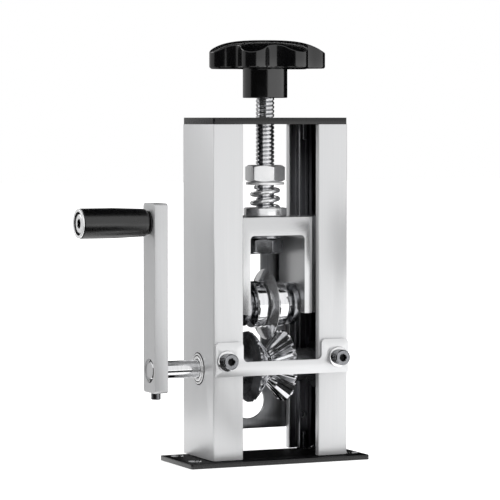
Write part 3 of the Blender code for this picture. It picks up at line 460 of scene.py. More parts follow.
def makePlates():
    low, high = inMm("base_plate")
    holes = [circle(x, y, plates["benchHole"])
             for x in (low.x + plates["fromLeft"], high.x - plates["fromRight"])
             for y in (low.y + plates["fromFront"], high.y - plates["fromBack"])]
    screws = [circle(spot.x, spot.y, plates["screwHole"]) for spot in screwPlaces()]
    outline = rectangle(low.x, high.x, low.y, high.y, plates["corner"])
    mesh = meshOf(extruded([outline] + holes + screws, low.z, high.z, plates["edge"]), "basePlate")
    centres = [Vector((sum(x for x, y in hole), sum(y for x, y in hole))) / len(hole) for hole in holes]
    sink = plates["benchHole"] + plates["sink"]
    tools = bmesh.new()
    for centre in centres:
        cone = [(0, high.z - sink), (sink + overrun, high.z + overrun), (0, high.z + overrun)]
        old = set(tools.verts)
        turned(cone, 48, shape=tools)
        fresh = [vert for vert in tools.verts if vert not in old]
        bmesh.ops.translate(tools, vec=centre.to_3d() * mm, verts=fresh)
    mesh = coated(carved(mesh, tools), plateBlack)
    paint(mesh, plateTop, lambda spot, normal: normal.z > 0.9)
    paint(mesh, bareRim, lambda spot, normal: any((spot.xy - c).length < sink - skin for c in centres))
    addPiece("basePlate", mesh, plateBlack, "base_plate")
    low, high = inMm("top_plate")
    outline = rectangle(low.x, high.x, low.y, high.y, plates["corner"])
    holes = screws + [circle(0, 0, plates["pressHole"])]
    shape = extruded([outline] + holes, low.z - plates["seat"], high.z, plates["edge"])
    mesh = meshOf(shape, "topPlate")
    addPiece("topPlate", mesh, plateBlack, "top_plate")

    size = frameScrew
    head = size["sink"] + size["cone"]
    profile = [(0, size["sink"] + size["socketDepth"]),
               (size["socket"], size["sink"] + size["socketDepth"], hexagon),
               (size["socket"], size["sink"], hexagon), (size["head"] - size["edge"], size["sink"]),
               (size["head"], size["sink"] + size["edge"]), (size["radius"], head)]
    profile += thread(size["radius"], size["pitch"], size["depth"], head, size["length"])
    profile += [(0, size["length"])]
    screw = paintSocketShade(meshOf(turned(profile, 48), "frameScrew"), screwSteel, size["socket"],
                       size["sink"] + skin, head)
    for number, spot in enumerate(screwPlaces(), 1):
        addPiece("basePlateScrew%d" % number, screw, screwSteel, "base_plate_screw_%d" % number,
                 place=(spot.x, spot.y, inMm("base_plate")[0].z))
        addPiece("topPlateScrew%d" % number, screw, screwSteel, "top_plate_screw_%d" % number,
                 place=(spot.x, spot.y, high.z), turn="-z")


channel = dict(wall=4, edge=0.3, outerRound=1, lipRound=0.6, innerRound=0.5, portWall=1.3, portDepth=4.8,
               portHalf=2.3, barrelHole=8.9, pocket=13.4, pocketDepth=0.6, guideHole=2.8, guideDepth=6,
               backHole=2)


def makeUprights():
    shaft = middleOf("left_bearing_housing").z
    ports = abs(screwPlaces()[0].x)
    size = channel
    for side, node, name in ((-1, "left_upright", "leftChannel"), (1, "right_upright", "rightChannel")):
        low, high = inMm(node)
        mouth, outer = reachOf(node)
        half = high.y
        web = outer - size["wall"]
        flange = half - size["wall"]
        wide = size["portHalf"] + size["portWall"]
        port = [(-wide, 0), (-wide, size["portDepth"]), (-size["portHalf"], size["portDepth"]),
                (-size["portHalf"], 0)]
        port += [(-x, y) for x, y in reversed(port)]
        back = [(outer, half), (mouth, half), (mouth, flange)]
        back += [(ports + x, flange - y) for x, y in port] + [(web, flange)]
        radii = [size["outerRound"], size["lipRound"], size["lipRound"]] + [0] * 8 + [size["innerRound"]]
        outline = [(side * x, y) for x, y in back + [(x, -y) for x, y in reversed(back)]]
        outline = filleted(outline, radii + radii[::-1], 4, closed=True)
        mesh = meshOf(extruded([outline], low.z, high.z, size["edge"]), name)
        start = (side * (mouth - overrun), 0, shaft)
        mesh = carved(mesh, rod(size["pocket"], start, (side * (web - size["pocketDepth"]), 0, shaft), 64))
        start = (side * (web - overrun), 0, shaft)
        tools = rod(size["barrelHole"], start, (side * (outer + overrun), 0, shaft), 64)
        guide = middleOf("left_guide_screw")
        start = (side * abs(guide.x), -half - overrun, guide.z)
        rod(size["guideHole"], start, (start[0], size["guideDepth"] - flange, guide.z), shape=tools)
        for number in (1, 2):
            level = middleOf("back_plate_screw_%d" % number).z
            start = (side * ports, flange - size["edge"], level)
            rod(size["backHole"], start, (side * ports, half + overrun, level), shape=tools)
        mesh = coated(carved(mesh, tools), channelMetal)
        # Painted shade: the channel's inner faces take the darker grey.
        paint(mesh, channelShade, lambda spot, normal: abs(spot.y) < flange + skin
              and mouth + size["innerRound"] < abs(spot.x) < web + skin)
        # Painted shade: the wall of the barrel's hole goes near black for the dark gap round the barrel.
        paint(mesh, socketShade, lambda spot, normal: abs(normal.x) < 0.5 and abs(spot.x) > web - skin
              and math.hypot(spot.y, spot.z - shaft) < size["barrelHole"] + skin)
        addPiece(name, mesh, channelMetal, node)


makePlates()
makeUprights()
print("frame made")


# Bearings

bearing = dict(flange=13, barrel=8.4, bore=7.4, wallRoom=0.3, shaftRoom=0.3, bushRoom=0.5, face=0.4,
               hole=1.4)
housingScrew = dict(radius=1.1, head=1.7, headHeight=0.8, socket=0.75, socketDepth=0.55, pitch=0.5,
                    depth=0.25, edge=0.2)


def makeBearings():
    size = bearing
    shoulder = reachOf("right_upright")[1] - channel["wall"] - size["wallRoom"]
    level = middleOf("drive_shaft").z
    for word, side, facingSide in (("left", -1, "-x"), ("right", 1, "x")):
        near, far = reachOf(word + "_bearing_housing")
        corners = [(size["bore"], near), (size["flange"], near), (size["flange"], shoulder),
                   (size["barrel"], shoulder), (size["barrel"], far), (size["bore"], far)]
        mesh = ringOf(word + "Housing", corners, [0, 0.4, 0.3, 0, 0.35, 0])
        tools = bmesh.new()
        for number in range(4):
            spot = middleOf("%s_housing_screw_%d" % (word, number + 1))
            start = Matrix.Rotation(-math.radians(90) * side, 3, "Y") @ Vector((0, spot.y, spot.z - level))
            start = (start.x, start.y)
            rod(size["hole"], (*start, near - overrun), (*start, shoulder + overrun), 24, tools)
        mesh = coated(carved(mesh, tools), blackSteelAndShade)
        paint(mesh, tinSteel, lambda spot, normal: spot.z > far - size["face"] and normal.z > 0.3)
        addPiece(word + "Housing", mesh, blackSteelAndShade, word + "_bearing_housing",
                 place=(0, 0, level), turn=facingSide)
        near, far = reachOf(word + "_shaft_bush")
        inner = halfOf("drive_shaft", 2) + size["shaftRoom"]
        outer = size["bore"] - size["bushRoom"]
        mesh = hoop(word + "Bush", inner, outer, near, far, [0, 0.3, 0.5, 0.4], fine=4)
        addPiece(word + "Bush", mesh, tinSteel, word + "_shaft_bush", place=(0, 0, level), turn=facingSide)

        cap = housingScrew
        near, far = reachOf(word + "_housing_screw_1")
        seat = near + cap["headHeight"]
        profile = [(0, near + cap["socketDepth"]), (cap["socket"], near + cap["socketDepth"], hexagon),
                   (cap["socket"], near, hexagon), (cap["head"] - cap["edge"], near),
                   (cap["head"], near + cap["edge"]), (cap["head"], seat), (cap["radius"], seat)]
        profile += thread(cap["radius"], cap["pitch"], cap["depth"], seat + 2 * skin, far, 8) + [(0, far)]
        screw = paintSocketShade(meshOf(turned(profile, 24), word + "HousingScrew"), screwSteel,
                           cap["socket"], near + skin, seat)
        for number in (1, 2, 3, 4):
            node = "%s_housing_screw_%d" % (word, number)
            spot = middleOf(node)
            addPiece("%sHousingScrew%d" % (word, number), screw, screwSteel, node,
                     place=(0, spot.y, spot.z), turn=facingSide)


makeBearings()
print("bearings made")


# Drive shaft and wheels

shaft = dict(radius=4.9, chamfer=0.6, edge=0.2)
wheel = dict(bore=5.2, rootOffset=0.15, rootRadius=9, radius=19.5, rimOffset=9.4, land=1.2,
             backRadius=14.6, backOffset=13.4, hub=9.2, teeth=28, toothDepth=1.55, rootShare=0.25,
             rimShare=0.15, crestShare=0.1, edge=0.35, screwHole=1.9)
grubScrew = dict(radius=1.6, socket=0.9, socketDepth=1.6, pitch=0.7, depth=0.3, tip=0.3)


def toothedCone(size, hubEnd):
    # Rings from the groove's root out to the rim and back to the hub; valleys are cut square
    # to the cone, deepest at the rim.
    run = Vector((size["radius"] - size["rootRadius"], size["rimOffset"])).normalized()
    shape = bmesh.new()
    marks = (0, size["crestShare"], 0.5 - size["crestShare"] / 2, 0.5 + size["crestShare"] / 2)
    valleys = (0, 0, 1, 1)
    root = size["rootOffset"]
    land = size["rimOffset"] + size["land"]
    rings = [(size["bore"], root, 0), (size["rootRadius"], root, size["rootShare"])]
    for number in range(1, 9):
        share = number / 8
        radius = size["rootRadius"] + (size["radius"] - size["rootRadius"]) * share
        rings.append((radius, root + (size["rimOffset"] - root) * share,
                      size["rootShare"] + (1 - size["rootShare"]) * share))
    rings += [(size["radius"], land, size["rimShare"]),
              (size["radius"] - size["edge"], land + size["edge"] * 0.6, 0),
              (size["backRadius"], size["backOffset"], 0), (size["hub"], size["backOffset"], 0),
              (size["hub"], hubEnd - size["edge"], 0), (size["hub"] - size["edge"], hubEnd, 0),
              (size["bore"], hubEnd, 0)]
    loops = []
    for radius, height, share in rings:
        loop = []
        for tooth in range(size["teeth"]):
            for mark, valley in zip(marks, valleys):
                angle = fullTurn * (tooth + mark) / size["teeth"]
                depth = valley * share * size["toothDepth"]
                reach = (radius - depth * run.y) * mm
                lift = (height + depth * run.x) * mm
                loop.append(shape.verts.new((reach * math.cos(angle), reach * math.sin(angle), lift)))
        loops.append(loop)
    count = len(loops[0])
    for near, far in zip(loops, loops[1:] + loops[:1]):
        for i in range(count):
            shape.faces.new((near[i - 1], near[i], far[i], far[i - 1]))
    return shape


def makeDrive():
    low, high = inMm("drive_shaft")
    level = (low.z + high.z) / 2
    chamfer = shaft["chamfer"]
    profile = [(0, low.x), (shaft["radius"] - chamfer, low.x), (shaft["radius"], low.x + chamfer),
               (shaft["radius"], high.x - chamfer), (shaft["radius"] - chamfer, high.x), (0, high.x)]
    profile = filleted(profile, shaft["edge"], 3)
    mesh = coated(meshOf(turned(profile, 96), "driveShaft"), shaftSteel)
    paint(mesh, armMetal, lambda spot, normal: spot.z < low.x + skin)
    addPiece("driveShaft", mesh, shaftSteel, "drive_shaft", place=(0, 0, level), turn="x")
    for word, facingSide in (("left", "-x"), ("right", "x")):
        mesh = meshOf(toothedCone(wheel, reachOf(word + "_drive_wheel")[1]), word + "Wheel", 24)
        screw = word + "_wheel_screw"
        spot = middleOf(screw)
        tools = rod(wheel["screwHole"], (0, 0, abs(spot.x)), (0, -wheel["hub"] - overrun, abs(spot.x)), 32)
        mesh = coated(carved(mesh, tools), wheelSteel)
        paint(mesh, wheelBack, lambda spot, normal: spot.z > wheel["rimOffset"] + wheel["land"])
        addPiece(word + "Wheel", mesh, wheelSteel, word + "_drive_wheel", place=(0, 0, level),
                 turn=facingSide)
        size = grubScrew
        inner, outer = reachOf(screw, 1)
        floor = outer - size["socketDepth"]
        profile = [(0, inner)]
        profile += thread(size["radius"], size["pitch"], size["depth"], inner, outer - size["tip"])
        profile += [(size["radius"] - size["tip"], outer), (size["socket"], outer, hexagon),
                    (size["socket"], floor, hexagon), (0, floor)]
        mesh = paintSocketShade(meshOf(turned(profile, 48), "grubScrew"), screwSteel, size["socket"],
                          floor - skin, outer - skin)
        addPiece(word + "GrubScrew", mesh, screwSteel, screw, place=(spot.x, 0, level), turn="-y")


makeDrive()
print("drive made")


# Crank and grip

crankArm = dict(corner=1.8, edge=0.35, bore=5.2, recess=6.6, recessDepth=0.9, boltHole=3.3, screwHole=2.9)
clampScrew = dict(radius=2.6, pitch=0.8, depth=0.35, socket=1.5, socketDepth=1.6, edge=0.35, neck=0.3)
grip = dict(armRadius=7.4, endRadius=8.1, round=2.2, bulge=30, bore=3.3, counterbore=6.3, floorDepth=3.4,
            ringRadius=7.9, endRound=0.35, edge=0.2)
gripBolt = dict(radius=3, head=5.4, headHeight=3.8, socket=2.5, socketDepth=2.2, mouth=0.25, cone=0.6,
                round=1.1, edge=0.2, tip=0.3)


def makeCrank():
    low, high = inMm("crank_arm")
    axis = middleOf("drive_shaft").z
    gripAxis = middleOf("grip").z
    size = crankArm
    outline = rectangle(low.y, high.y, low.z, high.z, size["corner"], 6)
    mesh = meshOf(extruded([outline], low.x, high.x, size["edge"], "x"), "crankArm")
    start, end = low.x - overrun, high.x + overrun
    tools = rod(size["bore"], (start, 0, axis), (end, 0, axis), 64)
    rod(size["boltHole"], (start, 0, gripAxis), (end, 0, gripAxis), shape=tools)
    mesh = carved(mesh, tools)
    middle = (low.x + high.x) / 2
    tools = rod(size["recess"], (start, 0, axis), (low.x + size["recessDepth"], 0, axis), 64)
    rod(size["screwHole"], (middle, 0, low.z - overrun), (middle, 0, axis), shape=tools)
    mesh = coated(carved(mesh, tools), armMetal)
    # Only the recess's front half looks dark in the photograph.
    # Painted shade: the front half of the recess wall is painted blackened steel for the shadow there.
    paint(mesh, blackSteelAndShade, lambda spot, normal: spot.x > low.x + skin and spot.y < 1
          and size["bore"] - skin < math.hypot(spot.y, spot.z - axis) < size["recess"] + skin)
    addPiece("crankArm", mesh, armMetal, "crank_arm")

    size = clampScrew
    bottom, top = (spot.z for spot in inMm("arm_clamp_screw"))
    floor = bottom + size["socketDepth"]
    profile = [(0, floor), (size["socket"], floor, hexagon), (size["socket"], bottom, hexagon),
               (size["radius"] - size["edge"], bottom), (size["radius"], bottom + size["edge"]),
               (size["radius"], low.z - 2 * size["neck"]),
               (size["radius"] - size["neck"], low.z - size["neck"])]
    profile += thread(size["radius"], size["pitch"], size["depth"], low.z, top, 8) + [(0, top)]
    mesh = paintSocketShade(meshOf(turned(profile, 48), "armClampScrew"), screwSteel, size["socket"],
                      bottom + skin, floor + skin)
    addPiece("armClampScrew", mesh, screwSteel, "arm_clamp_screw", place=(middle, 0, 0))

    # Heights run outwards from the middle plane.
    near, far = reachOf("grip")
    size = grip
    bore, mouth, end = size["bore"], size["counterbore"], size["endRadius"]
    floor = far - size["floorDepth"]
    corners = [(bore, near), (size["armRadius"], near), (end, (near + far) / 2), (end, far), (mouth, far),
               (mouth, floor), (bore, floor)]
    radii = [0, size["round"], size["bulge"], size["endRound"], size["edge"], 0, 0]
    onAxis = dict(place=(0, 0, gripAxis), turn="-x")
    addPiece("handGrip", ringOf("handGrip", corners, radii, fine=6), gripPlastic, "grip", **onAxis)
    near, far = reachOf("grip_end_ring")
    mesh = hoop("gripEndRing", mouth, size["ringRadius"], near, far, [0, 0.1, 0.4, 0.3], fine=4)
    paint(coated(mesh, tinSteel), gripPlastic, lambda spot, normal: spot.xy.length < mouth + skin)
    addPiece("gripEndRing", mesh, tinSteel, "grip_end_ring", **onAxis)
    near, far = reachOf("grip_washer")
    mesh = hoop("gripWasher", bore, halfOf("grip_washer", 2), near, far, [0, 0.25, 0.25, 0], 64)
    addPiece("gripWasher", mesh, washerNylon, "grip_washer", **onAxis)
    size = gripBolt
    near, far = reachOf("grip_bolt")
    seat = far - size["headHeight"]
    floor = far - size["socketDepth"]
    profile = [(0, near), (size["radius"] - size["tip"], near), (size["radius"], near + size["tip"]),
               (size["radius"], seat), (size["head"], seat), (size["head"], far),
               (size["socket"] + size["mouth"], far)]
    profile = filleted(profile, [0, 0, 0, 0, size["edge"], size["round"], 0], 5)
    profile += [(size["socket"], far - size["mouth"], hexagon), (size["socket"], floor, hexagon),
                (0, floor - size["cone"])]
    mesh = paintSocketShade(meshOf(turned(profile, 96), "gripBolt"), tinSteel, size["socket"],
                      floor - size["cone"], far - size["mouth"] - skin)
    addPiece("gripBolt", mesh, tinSteel, "grip_bolt", **onAxis)


makeCrank()
print("crank made")


# Guides

guideBar = dict(barHeight=7.6, lugWidth=16.2, corner=0.4, round=2.5, edge=0.3, hole=2.8)
socketScrew = dict(radius=2.5, shank=1, pitch=0.8, depth=0.4, head=4.25, headHeight=5, seatEdge=0.2,
                   knurls=24, knurl=0.12, knurlStart=0.25, knurlEnd=0.5, band=0.4, edge=0.45, socket=1.8,
                   socketDepth=2.6, mouth=1.22, mouthDepth=0.3, cone=0.5, turn=15)
backPlate = dict(corner=2, edge=0.25, slotHalf=7.6, slotEnd=16.4, holeRadius=9.6, holeRise=15.2,
                 holeSteps=48, screwHole=2)
panScrew = dict(radius=1.7, neck=0.3, pitch=0.7, depth=0.3, head=3.6, headHeight=2, seatEdge=0.15,
                slope=0.25, crown=0.6, round=1.1, socket=1.1, socketDepth=1.1, mouth=1.3, mouthDepth=0.2,
                cone=0.3)


def makeGuides():
    low, high = inMm("front_guide_bar")
    size = guideBar
    shoulder = high.x - size["lugWidth"]
    bar = low.z + size["barHeight"]
    half = [(high.x, low.z), (high.x, high.z), (shoulder, high.z), (shoulder, bar)]
    outline = half + [(-x, z) for x, z in reversed(half)]
    radii = [size["corner"]] + 3 * [size["round"]]
    outline = filleted(outline, radii + radii[::-1], 8, closed=True)
    screws = [middleOf("left_guide_screw"), middleOf("right_guide_screw")]
    holes = [circle(spot.x, spot.z, size["hole"]) for spot in screws]
    mesh = meshOf(extruded([outline] + holes, low.y, high.y, size["edge"], "y"), "frontGuideBar")
    addPiece("frontGuideBar", mesh, barMetal, "front_guide_bar")

    size = socketScrew
    tip, face = reachOf("left_guide_screw", 1)
    seat = face - size["headHeight"]
    rim = face - size["edge"]
    floor = face - size["socketDepth"]

    def knurled(angle):
        return 1 - size["knurl"] / size["head"] * abs(math.sin(size["knurls"] * angle / 2))
    profile = [(0, tip)]
    profile += thread(size["radius"], size["pitch"], size["depth"], tip, seat - size["shank"])
    profile += [(size["radius"], seat), (size["head"] - size["seatEdge"], seat),
                (size["head"], seat + size["knurlStart"], knurled),
                (size["head"], rim - size["knurlEnd"], knurled), (size["head"], rim - size["band"]),
                (size["head"], rim), (size["head"] - size["edge"], face),
                (size["socket"] * size["mouth"], face),
                (size["socket"], face - size["mouthDepth"], hexagon),
                (size["socket"], floor, hexagon), (0, floor - size["cone"])]
    screw = paintSocketShade(meshOf(turned(profile, 144), "socketScrew"), screwSteel, size["socket"],
                       floor - size["cone"], face - size["mouthDepth"] - skin)
    near, far = reachOf("left_guide_washer", 1)
    washer = hoop("guideWasher", guideBar["hole"], halfOf("left_guide_washer", 2), near, far,
                  [0, 0.15, 0.3, 0], 64)
    for word, spot in zip(("left", "right"), screws):
        onAxis = dict(place=(spot.x, 0, spot.z), turn="-y")
        addPiece(word + "SocketScrew", screw, screwSteel, word + "_guide_screw", spin=size["turn"],
                 **onAxis)
        addPiece(word + "GuideWasher", washer, chrome, word + "_guide_washer", **onAxis)

    low, high = inMm("back_guide_plate")
    size = backPlate
    outline = rectangle(low.x, high.x, low.z, high.z, size["corner"])
    level = low.z + size["holeRise"]
    lean = math.acos(size["slotHalf"] / size["holeRadius"])
    start = math.pi - lean
    sweep = math.pi + 2 * lean
    slot = [(size["slotHalf"], high.z - size["slotEnd"]), (-size["slotHalf"], high.z - size["slotEnd"])]
    for step in range(size["holeSteps"] + 1):
        angle = start + sweep * step / size["holeSteps"]
        slot.append((size["holeRadius"] * math.cos(angle), level + size["holeRadius"] * math.sin(angle)))
    spots = [middleOf("back_plate_screw_%d" % number) for number in (1, 2, 3, 4)]
    holes = [circle(spot.x, spot.z, size["screwHole"]) for spot in spots]
    mesh = meshOf(extruded([outline, slot] + holes, low.y, high.y, size["edge"], "y"), "backGuidePlate")
    addPiece("backGuidePlate", mesh, sheetSteel, "back_guide_plate")

    size = panScrew
    tip, face = reachOf("back_plate_screw_1", 1)
    seat = face - size["headHeight"]
    floor = face - size["socketDepth"]
    profile = [(0, tip)]
    profile += thread(size["radius"], size["pitch"], size["depth"], tip, seat - size["neck"], 8)
    head = [(size["radius"], seat), (size["head"], seat),
            (size["head"] - size["slope"], face - size["crown"]), (size["socket"] * size["mouth"], face)]
    profile += filleted(head, [0, size["seatEdge"], size["round"], 0], 5)
    profile += [(size["socket"], face - size["mouthDepth"], hexagon), (size["socket"], floor, hexagon),
                (0, floor - size["cone"])]
    screw = paintSocketShade(meshOf(turned(profile, 48), "panScrew"), screwSteel, size["socket"],
                       floor - size["cone"], face - size["mouthDepth"] - skin)
    for number, spot in enumerate(spots, 1):
        addPiece("backPlateScrew%d" % number, screw, screwSteel, "back_plate_screw_%d" % number,
                 place=(spot.x, 0, spot.z), turn="y")


makeGuides()
print("guides made")


# Sliding block, blade and rollers

block = dict(half=20.8, body=16.7, tongue=11.8, roof=10, leg=4.6, windowRound=2.3, edge=0.4, axleHole=4.3,
             screwHole=5.3, axleEdge=0.6)
blade = dict(bore=4.3, half=2.2, bevelRadius=13.4, primary=0.9, primaryHalf=0.5, edge=0.06)
roller = dict(bore=4.3, boreEdge=0.3, round=1.3)
spacer = dict(bore=4.3, radius=8.2, collar=3.2, edge=0.3)


def makeBlock():
    low, high = inMm("slider_block")
    size = block
    reach = high.x
    right = [(size["half"], -size["body"]), (size["half"], -size["tongue"]), (reach, -size["tongue"]),
             (reach, size["tongue"]), (size["half"], size["tongue"]), (size["half"], size["body"])]
    outline = right + [(-x, -y) for x, y in right]
    mesh = meshOf(extruded([outline], low.z, high.z, size["edge"]), "slidingBlock")
    window = size["half"] - size["leg"]
    ceiling = high.z - size["roof"]
    under = low.z - overrun
    opening = [(-window, under), (window, under), (window, ceiling), (-window, ceiling)]
    opening = filleted(opening, [0, 0, size["windowRound"], size["windowRound"]], 8, closed=True)
    front = size["body"] + overrun
    mesh = carved(mesh, extruded([opening], -front, front, 0, "y"))
    level = middleOf("blade_axle").z
    tools = rod(size["axleHole"], (-reach - overrun, 0, level), (reach + overrun, 0, level))
    rod(size["screwHole"], (0, 0, ceiling - overrun), (0, 0, high.z + overrun), shape=tools)
    addPiece("slidingBlock", carved(mesh, tools), blockMetal, "slider_block")

    low, high = inMm("blade_axle")
    radius = halfOf("blade_axle", 2)
    profile = [(0, low.x), (radius, low.x), (radius, high.x), (0, high.x)]
    profile = filleted(profile, [0, size["axleEdge"], size["axleEdge"], 0], 2)
    addPiece("bladeAxle", meshOf(turned(profile, 64), "bladeAxle"), shaftSteel, "blade_axle",
             place=(0, 0, level), turn="x")
    size = blade
    radius = halfOf("round_blade", 1)
    side = [(size["bore"], size["half"]), (size["bevelRadius"], size["half"]),
            (radius - size["primary"], size["primaryHalf"]), (radius, size["edge"])]
    profile = [(r, -h) for r, h in side] + side[::-1]
    addPiece("roundBlade", meshOf(turned(profile, 160, closed=True), "roundBlade", 8), bladeSteel,
             "round_blade", place=(0, 0, level), turn="x")
    for word, facingSide in (("left", "-x"), ("right", "x")):
        node = word + "_roller"
        radii = [roller["boreEdge"], roller["round"], roller["round"], roller["boreEdge"]]
        mesh = hoop(word + "Roller", roller["bore"], halfOf(node, 1), *reachOf(node), radii, 128, 8)
        addPiece(word + "Roller", mesh, rollerSteel, node, place=(0, 0, level), turn=facingSide)
        node = word + "_axle_spacer"
        near, far = reachOf(node)
        step = far - spacer["collar"]
        collar = halfOf(node, 1)
        corners = [(spacer["bore"], near), (spacer["radius"], near), (spacer["radius"], step),
                   (collar, step), (collar, far), (spacer["bore"], far)]
        mesh = ringOf(word + "Spacer", corners, [0] + 4 * [spacer["edge"]] + [0])
        addPiece(word + "Spacer", mesh, greySteel, node, place=(0, 0, level), turn=facingSide)


makeBlock()
print("block made")


# Screw, nuts, washers and spring

pressScrew = dict(pitch=2.25, depth=0.9, shorter=2.6)
nut = dict(upperFlats=19, lowerFlats=17, turn=32, crown=0.96, spread=1.3, slope=30, edge=0.25, bore=5.3,
           mouth=5.9)
washer = dict(bore=5.3, edge=0.3, boreEdge=0.2)
coil = dict(wire=2.3, turns=2.9, start=150, swing=0.12, perTurn=36, smooth=40)
cup = dict(wall=2.4, floor=1, bore=5.3, edge=0.45, inside=0.3, boreEdge=0.2)


def makeNut(name, node, flats, finish):
    low, high = inMm(node)
    height = high.z - low.z
    half = flats / 2
    outline = circle(0, 0, half / math.cos(math.pi / 6), 6)
    mesh = meshOf(extruded([outline], 0, height, nut["edge"]), name)
    # A lens of two cones leaves the crown's round edge on both ends.
    crown = half * nut["crown"]
    reach = half * nut["spread"]
    drop = (reach - crown) * math.tan(math.radians(nut["slope"]))
    lens = [(0, 0), (crown, 0), (reach, drop), (reach, height - drop), (crown, height), (0, height)]
    mesh = carved(mesh, turned(lens, 128), "INTERSECT")
    lead = nut["mouth"] - nut["bore"]
    wide = nut["mouth"] + 1
    bore = [(0, -1), (wide, -1), (nut["bore"], lead), (nut["bore"], height - lead), (wide, height + 1),
            (0, height + 1)]
    mesh = carved(mesh, turned(bore, 64))
    addPiece(name, mesh, finish, node, place=(0, 0, low.z), spin=nut["turn"])


def makeRing(name, node, finish):
    low, high = inMm(node)
    edge = washer["edge"]
    radius = max(halfOf(node, 0), halfOf(node, 1))
    mesh = hoop(name, washer["bore"], radius, 0, high.z - low.z, [0, edge, edge, washer["boreEdge"]], 128, 4)
    addPiece(name, mesh, finish, node, place=(0, 0, low.z))


def makeSpring():
    low, high = inMm("spring")
    radius = max(halfOf("spring", 0), halfOf("spring", 1)) - coil["wire"] / 2
    rise = high.z - low.z - coil["wire"]
    count = round(coil["turns"] * coil["perTurn"])
    line = bpy.data.curves.new("pressSpring", "CURVE")
    line.dimensions = "3D"
    line.bevel_depth = coil["wire"] / 2 * mm
    line.bevel_resolution = 6
    line.use_fill_caps = True
    run = line.splines.new("POLY")
    run.points.add(count)
    for number, point in enumerate(run.points):
        share = number / count
        angle = math.radians(coil["start"]) + fullTurn * coil["turns"] * share
        sway = coil["swing"] * math.sin(fullTurn * share) / fullTurn
        height = coil["wire"] / 2 + rise * (share - sway)
        point.co = (radius * mm * math.cos(angle), radius * mm * math.sin(angle), height * mm, 1)
    holder = bpy.data.objects.new("coil", line)
    bpy.context.scene.collection.objects.link(holder)
    mesh = bpy.data.meshes.new_from_object(holder.evaluated_get(bpy.context.evaluated_depsgraph_get()))
    bpy.data.objects.remove(holder)
    mesh.shade_smooth()
    mesh.set_sharp_from_angle(angle=math.radians(coil["smooth"]))
    mesh.materials.clear()
    piece = addPiece("pressSpring", mesh, springSteel, "spring", place=(0, 0, low.z))
    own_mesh(piece)


def makeScrewGroup():
    low, high = inMm("press_screw")
    size = pressScrew
    foot = low.z + size["shorter"]
    profile = [(0, foot)]
    profile += thread(halfOf("press_screw", 0), size["pitch"], size["depth"], foot, high.z, 14)
    mesh = meshOf(turned(profile + [(0, high.z)], 72), "pressScrew", 40)
    addPiece("pressScrew", mesh, threadSteel, "press_screw")
    makeNut("upperNut", "upper_nut", nut["upperFlats"], zincSteel)
    makeNut("lowerNut", "lower_nut", nut["lowerFlats"], greySteel)
    makeRing("springTopWasher", "spring_top_washer", tinSteel)
    low, high = inMm("spring_collar")
    outer, rise = high.x, high.z - low.z
    inner, floor, edge = outer - cup["wall"], cup["floor"], cup["edge"]
    corners = [(cup["bore"], 0), (outer, 0), (outer, rise), (inner, rise), (inner, floor),
               (cup["bore"], floor)]
    mesh = ringOf("springCup", corners, [0, edge, edge, edge, cup["inside"], cup["boreEdge"]], 128, 5)
    addPiece("springCup", mesh, zincSteel, "spring_collar", place=(0, 0, low.z))
    makeRing("lowerWasher", "lower_washer", greySteel)
    makeSpring()


makeScrewGroup()
print("screw group made")


# Knob

starKnob = dict(radius=32.8, lobes=7, tipRadius=7.6, valleyRadius=6.8, tipSteps=34, valleySteps=22,
                hub=12.2, hubLength=16, lobeHeight=8.5, dome=6.8, fall=3.6, turn=26.8, edge=1, hubEdge=0.4,
                flare=0.8, bore=5.3, boreDepth=17.3, shoulder=0.9, merge=0.0005)


def domeHeight(radius):
    size = starKnob
    fall = size["dome"] * (radius / size["radius"]) ** size["fall"]
    return size["hubLength"] + size["lobeHeight"] + size["dome"] - fall


def lobeProfile(reach):
    # Radius and height from the bore's floor out over a lobe of this reach and in to the crown.
    size = starKnob
    inside = reach * size["shoulder"]
    corner = [(size["bore"], 0), (size["hub"], 0), (size["hub"], size["hubLength"]),
              (reach, size["hubLength"]), (reach, domeHeight(reach)), (inside, domeHeight(inside))]
    radii = [0, size["hubEdge"], size["flare"], size["edge"], size["edge"], 0]
    profile = [(0, size["boreDepth"]), (size["bore"], size["boreDepth"])] + filleted(corner, radii, 5)
    shares = [0.84, 0.77, 0.69, 0.6, 0.5, 0.4, 0.3, 0.2, 0.1]
    return profile + [(reach * share, domeHeight(reach * share)) for share in shares]


def knobOutline():
    # Points round the lobes' tips and the valleys between them, in mm.
    size = starKnob
    half = math.pi / size["lobes"]
    tip = size["radius"] - size["tipRadius"]
    between = size["tipRadius"] + size["valleyRadius"]
    lean = math.asin(tip * math.sin(half) / between)
    valley = tip * math.cos(half) + between * math.cos(lean)
    outline = []
    for lobe in range(size["lobes"]):
        for middle, centre, radius, sweep, steps in (
                (2 * half * lobe, tip, size["tipRadius"], half + lean, size["tipSteps"]),
                (2 * half * lobe + half, valley, -size["valleyRadius"], -lean, size["valleySteps"])):
            for step in range(steps):
                turn = middle + sweep * (2 * step / steps - 1)
                outline.append((centre * math.cos(middle) + radius * math.cos(turn),
                                centre * math.sin(middle) + radius * math.sin(turn)))
    return outline


def makeKnob():
    size = starKnob
    shape = bmesh.new()
    columns = []
    for x, y in knobOutline():
        reach = math.hypot(x, y)
        columns.append([shape.verts.new((r * mm * x / reach, r * mm * y / reach, h * mm))
                        for r, h in lobeProfile(reach)])
    for number, near in enumerate(columns):
        far = columns[number - 1]
        for row in range(len(near) - 1):
            shape.faces.new((near[row], near[row + 1], far[row + 1], far[row]))
    crown = shape.verts.new((0, 0, domeHeight(0) * mm))
    for number, near in enumerate(columns):
        shape.faces.new((near[-1], crown, columns[number - 1][-1]))
    bmesh.ops.remove_doubles(shape, verts=shape.verts, dist=size["merge"] * mm)
    mesh = meshOf(shape, "starKnob", 36)
    mesh.transform(Matrix.Rotation(math.radians(size["turn"]), 4, "Z"))
    addPiece("starKnob", mesh, knobResin, "knob", place=(0, 0, inMm("knob")[0].z))


makeKnob()
print("knob made")


# Studio

